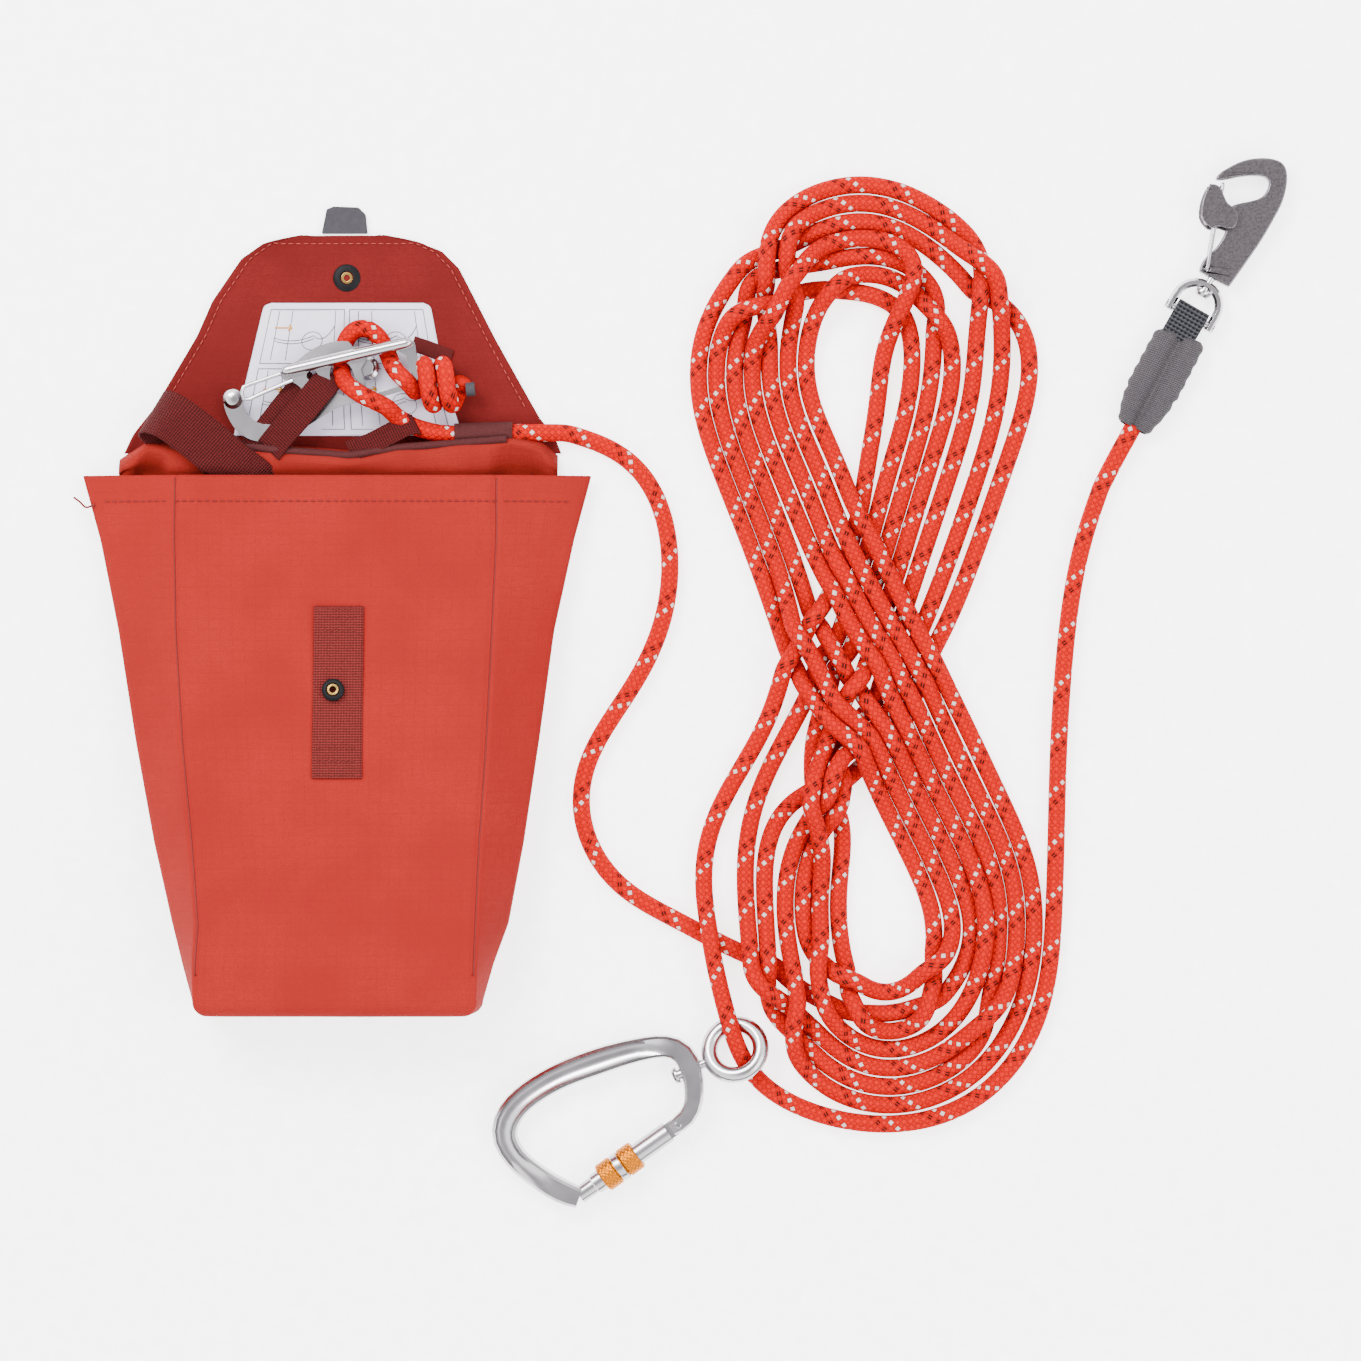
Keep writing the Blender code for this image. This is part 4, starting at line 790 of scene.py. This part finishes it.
def make_haul():
    """The haul loop: it rises out of the mouth, folds over and comes down behind the sack's front."""
    path = [
        (-214, 96, 7), (-222, 104, 15), (-232, 112, 20.5), (-244, 122, 24), (-255, 130.5, 26),
        (-264, 136.5, 25), (-271, 138.5, 20.5), (-273, 136.5, 15), (-269, 131.5, 10.5), (-262, 124, 8),
        (-255, 115, 6), (-249, 105, 4.5),
    ]
    across = [(0.66, 0.75, 0.05)] * 5 + [(0.52, 0.85, 0.0)] * 7
    haul = ribbon("haul_webbing", path, across, 25.0, 1.6, LOOKS["webbing"])
    for corner in haul.data.vertices:
        x, y, z = (value / MM for value in corner.co)
        behind = min(1.0, max(0.0, (110.0 - y) / 3.0))
        if z < 24 and x > -262:
            corner.co.z = (z + (min(z, front_height(x, 105.5) - 3.2) - z) * behind) * MM
    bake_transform(haul)
    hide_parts("haul_strap")


def make_front_strap():
    """The strip of webbing down the sack's front, with three rows of stitches at each end."""
    middle = -175.3
    path = [(middle, y, front_height(middle, y) + 1.3) for y in np.linspace(-50.0, 38.0, 12)]
    front = ribbon("front_webbing", path, [(1.0, 0.0, 0.0)] * len(path), 25.5, 1.6, LOOKS["faded_webbing"])
    rows = []
    for y in (36.5, 32.5, 25.5, -34.5, -41.0, -48.0):
        rows.append([(x, y, front_height(x, y) + 2.35) for x in np.linspace(-187, -164, 8)])
    thread = stitches("front_strap_thread", rows, 2.0, 0.9, 0.3, "thread")
    for piece in (front, thread):
        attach(piece, "root")
    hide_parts("front_webbing_strip")


def make_tensioner_loop():
    """The two layers of webbing that hold the tensioner."""
    paths = {
        "tensioner_webbing_front": [
            (-180, 158, 12.5), (-186, 150.5, 17.5), (-196, 138.5, 18), (-206, 127.5, 16), (-213, 119, 14),
        ],
        "tensioner_webbing_back": [
            (-190, 158, 9.0), (-197, 150.0, 12.0), (-206, 139.0, 12.5), (-215, 127.5, 11.5), (-222, 119, 10.5),
        ],
    }
    for name, path in paths.items():
        loop = ribbon(name, path, [(0.70, -0.66, 0.28)] * len(path), 15.5, 1.5, LOOKS["webbing"])
        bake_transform(loop)
    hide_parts("tensioner_webbing_loop")


def make_keeper():
    """The sleeve that the rope leaves the sack through, and the tab that it hangs from."""
    line = spline([(-117, 127.5, 8.8), (-102, 128.0, 8.6), (-87, 128.4, 8.3)], 0.8)
    keeper = swept("keeper_sleeve", line, 5.7, 24, LOOKS["binding"])
    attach(keeper, "root")
    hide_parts("rope_keeper")
    path = [
        (-171, 118.5, 13.5), (-160, 122.5, 15), (-150, 127.5, 16), (-142, 131.5, 16.8), (-136.5, 132.5, 15.8),
    ]
    tab = ribbon("keeper_tab_webbing", path, [(-0.45, 0.89, -0.1)] * len(path), 11.0, 1.4, LOOKS["webbing"])
    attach(tab, "root")
    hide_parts("keeper_anchor_tab")


def tensioner_place(point):
    """From the tensioner's own directions, along its bar, across it and up, to the row frame, in mm."""
    at = Matrix.Translation(Vector((-175.5, 156.8, 0.0)))
    turn = Matrix.Rotation(math.radians(16.5), 4, "Z") @ Matrix.Rotation(math.radians(-4.0), 4, "Y")
    return tuple(at @ turn @ Vector(point))


def make_inner_rope():
    """From the keeper through the tensioner's hole, over its bar and into the stopper knot."""
    through_plate = [
        (20.0, -21.6, 19.4), (13.0, -16.0, 21.6), (8.0, -10.9, 22.3), (4.4, -6.4, 20.2), (1.6, -1.0, 13.6),
        (1.8, 4.6, 8.6), (4.0, 11.6, 7.4), (8.0, 18.5, 7.6), (14.0, 22.5, 7.6), (20.5, 21.3, 7.6),
        (25.0, 15.6, 7.6), (26.6, 8.6, 7.4), (27.2, 3.6, 7.9), (28.0, -1.2, 11.6), (29.4, -5.4, 16.8),
        (32.0, -9.4, 20.4),
    ]
    route = [
        (-99.0, 128.0, 8.6), (-116.0, 127.4, 8.8), (-126.0, 128.0, 9.6), (-138.0, 131.2, 11.5),
        (-147.0, 136.4, 14.5),
    ]
    route += [tensioner_place(point) for point in through_plate]
    route += [(-137.8, 150.6, 15.5), (-137.0, 148.6, 9.6)]
    turn_gap = 9.7  # along the knot, from one of its turns to the next
    for turned in range(285, 285 + 34 * 20, 20):
        a = math.radians(turned)
        x = -130.2 + turn_gap * (turned - 450) / 360
        route.append((x, 152.9 + 11.0 * math.cos(a), 15.2 + 7.8 * math.sin(a)))
    route += [(-114.6, 151.0, 9.4), (-112.6, 155.2, 12.6)]
    route = even(np.array(route), 1.5)
    for _ in range(6):
        route[1:-1] = 0.5 * route[1:-1] + 0.25 * (route[:-2] + route[2:])
    line = spline(route, 1.2)
    inner = swept("rope_inner", line, ROPE_RADIUS, 24, LOOKS["rope"])
    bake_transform(inner)
    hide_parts("rope_inner_end", "stopper_knot")


def gate_place(run, turn, radius):
    """A point on the carabiner's gate, run along it from its hinge, at an angle about its axis."""
    tilt = Matrix.Translation(Vector((-90.0, 0.0, 6.3)))
    tilt = tilt @ Matrix.Rotation(-CARABINER_TILT, 4, "Y") @ Matrix.Translation(Vector((90.0, 0.0, 0.0)))
    (x, y), (dx, dy) = GATE_HINGE, GATE_RUN
    across = Vector((-dy, dx, 0.0))
    flat = Vector((x + dx * run, y + dy * run, 0.0)) + across * (radius * math.cos(turn))
    return tilt @ (flat + Vector((0.0, 0.0, radius * math.sin(turn))))


def make_lock_sleeve():
    """The gold sleeve: two knurled bands with a waist between them, cut as real diamonds."""
    low, around, grooves, twist = 26.3, 132, 11, 1.35
    outline = [
        (0.0, 5.9), (0.0, 7.0), (0.8, 7.75), (8.0, 7.8), (8.6, 6.9),
        (13.4, 6.9), (14.0, 7.8), (21.2, 7.75), (22.0, 7.0), (22.0, 5.9),
    ]
    rows = []
    for run, radius in np.array(even(np.array(outline), 0.28)):
        knurl = 0.42 * min(1.0, max(0.0, (radius - 7.2) / 0.5))
        ring = []
        for k in range(around):
            a = 2 * math.pi * k / around
            ways = [abs(math.sin(grooves * a + sign * twist * run)) for sign in (1, -1)]
            ring.append(gate_place(low + run, a, radius - knurl * (1 - min(ways) ** 0.6)))
        rows.append(ring)
    sleeve = grid("lock_sleeve_knurled", rows, LOOKS["gold_anodised"], 0.0, closed=True)
    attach(sleeve, "lock_sleeve")
    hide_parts("lock_sleeve")


def make_label_art():
    """The label's generic line drawings: four frames with posts, slack ropes and arrows."""
    top, bottom = LABEL[-1][0], LABEL[0][0]

    def place(s, t):
        y = bottom + (top - bottom) * t
        left, right = values_at(LABEL, y)
        x = left + (right - left) * s
        return (x, y, flap_height(x, y) + 1.28)

    def inside(box, s, t):
        (s0, s1), (t0, t1) = box
        return (s0 + (s1 - s0) * s, t0 + (t1 - t0) * t)

    def sag(start, end, drop):
        (s0, t0), (s1, t1) = start, end
        steps = [k / 10 for k in range(11)]
        return [(s0 + (s1 - s0) * k, t0 + (t1 - t0) * k - drop * 4 * k * (1 - k)) for k in steps]

    ink, arrows = [], []
    loop = [2 * math.pi * k / 16 for k in range(17)]
    ropes = (
        ((0.12, 0.42), (0.62, 0.46), 0.03), ((0.12, 0.47), (0.62, 0.52), 0.03), ((0.62, 0.50), (0.88, 0.70), 0.05),
    )
    columns, lines = ((0.05, 0.485), (0.515, 0.95)), ((0.545, 0.95), (0.05, 0.505))
    for box in [(column, line) for line in lines for column in columns]:
        (s0, s1), (t0, t1) = box
        ink += [[(s0, t0), (s1, t0)], [(s1, t0), (s1, t1)], [(s1, t1), (s0, t1)], [(s0, t1), (s0, t0)]]
        for post in (0.12, 0.30, 0.88):
            ink.append([inside(box, post, 0.06), inside(box, post, 0.97)])
        for start, end, drop in ropes:
            ink.append(sag(inside(box, *start), inside(box, *end), drop))
        ink.append([inside(box, 0.60 + 0.13 * math.cos(a), 0.42 + 0.17 * math.sin(a)) for a in loop])
        (tail, at), (head, _) = inside(box, 0.10, 0.66), inside(box, 0.32, 0.66)
        barbs = [(head - 0.018, at + 0.022), (head, at), (head - 0.018, at - 0.022)]
        arrows += [[(tail, at), (head, at)], barbs]
    drawings = (("label_drawings", ink, 0.30, "ink"), ("label_arrows", arrows, 0.75, "arrow_ink"))
    for name, routes, width, look in drawings:
        verts, faces, coords = [], [], []
        for route in routes:
            line = even(np.array([place(s, t) for s, t in route]), 1.0)
            along = np.gradient(line, axis=0)
            side = np.stack([-along[:, 1], along[:, 0], 0 * along[:, 0]], axis=1)
            side *= 0.5 * width / np.maximum(np.linalg.norm(side, axis=1, keepdims=True), 1e-6)
            first = len(verts)
            for point, way in zip(line, side):
                verts += [point + way, point - way]
            for k in range(first, first + 2 * len(line) - 2, 2):
                faces.append((k, k + 1, k + 3, k + 2))
                coords += [(0, 0), (1, 0), (1, 1), (0, 1)]
        art = link(name, verts, faces, coords, LOOKS[look], 0.10)
        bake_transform(art)


def make_sack_edges():
    """The folded edges where the front panel meets the gussets, a dark line at each one's foot painted as the
    seam's shadow, and a loose thread end.
    """
    for name, sign in (("sack_edge_left", -1), ("sack_edge_right", 1)):
        line = []
        for y in np.linspace(104.5, -150, 60):
            middle, _, front = values_at(SACK, y)[:3]
            x = middle + sign * (front - 1.4)
            line.append((x, y, front_height(x, y) + 0.35))
        edge = swept(name, spline(line, 2.0), 0.75, 8, LOOKS["cloth"])
        foot = [(x + sign * 0.95, y, front_height(x + sign * 0.95, y) + 0.75) for x, y, _ in line]
        # A thin dark tube at the foot of the fold, in the thread look: painted shadow of the seam's step.
        seam = swept(name + "_seam_shadow", spline(foot, 2.0), 0.34, 6, LOOKS["thread"])
        for piece in (edge, seam):
            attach(piece, "root")
    tail = [(-303.0, 91.0, 12.0), (-307.5, 89.6, 12.5), (-310.5, 92.2, 12.2), (-314.0, 94.8, 11.6)]
    thread = swept("thread_tail", spline(tail, 0.8), 0.55, 8, LOOKS["thread"])
    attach(thread, "root")


def make_rope_sleeve():
    """The woven sleeve at the clip, in two lobes round the ropes inside it, and the clip's webbing tab."""
    foot, heading = np.array([234.5, 131.0]), np.array([0.468, 0.884])
    side = np.array([heading[1], -heading[0]])
    length = 54.0
    lobe = [(-0.5 + 0.5 * math.cos(math.radians(a)), math.sin(math.radians(a))) for a in range(180, 29, -10)]
    upper = lobe + [(-u, w) for u, w in reversed(lobe[1:])]
    outline = upper + [(u, -w) for u, w in reversed(upper[:-1])]
    rows = []
    for s in np.linspace(0, length, 64):
        half = float(np.interp(s, (0, 1.5, 12, 22, 50, 52.5, 54), (7.4, 9.2, 12.2, 13.6, 13.4, 12.8, 11.0)))
        tall = float(np.interp(s, (0, 1.5, 12, 50, 52.5, 54), (4.9, 5.6, 6.1, 6.1, 5.6, 4.4)))
        waist = 1 - 0.035 * math.exp(-(((s - 20) / 1.6) ** 2)) + 0.02 * math.sin(s * 0.9)
        ring = []
        for u, w in outline:
            x, y = foot + heading * (s + 1.6 * u * min(1.0, s / 20)) + side * (half * waist * u)
            ring.append((x, y, 6.6 + tall * waist * w + 0.15 * math.sin(s * 1.3 + 4 * u)))
        rows.append(ring)
    sleeve = grid("clip_sleeve_cloth", rows, LOOKS["grey_cloth"], 0.0, closed=True)
    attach(sleeve, "root")
    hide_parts("clip_rope_sleeve")

    along = np.array([0.5, 0.866])
    loop = [
        (-15, -2.6), (-8, -3.4), (-3, -3.6), (1.5, -3.5), (3.6, -2.3), (4.3, 0.0),
        (3.6, 2.3), (1.5, 3.5), (-3, 3.6), (-8, 3.4), (-15, 2.6),
    ]
    path = [(264.2 + along[0] * run, 189.3 + along[1] * run, 7.0 + up) for run, up in loop]
    across = [(along[1], -along[0], 0.0)] * len(path)
    tab = ribbon("clip_tab_webbing", path, across, 17.4, 1.5, LOOKS["black_webbing"], 0.7)
    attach(tab, "root")
    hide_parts("clip_webbing_tab")


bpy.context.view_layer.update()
camera()
dress_frame()
make_main_rope()
make_sack()
make_collar()
make_flap()
make_label()
make_label_art()
make_sack_edges()
make_haul()
make_front_strap()
make_tensioner_loop()
make_keeper()
make_inner_rope()
make_rope_sleeve()
make_lock_sleeve()
stage_and_light()
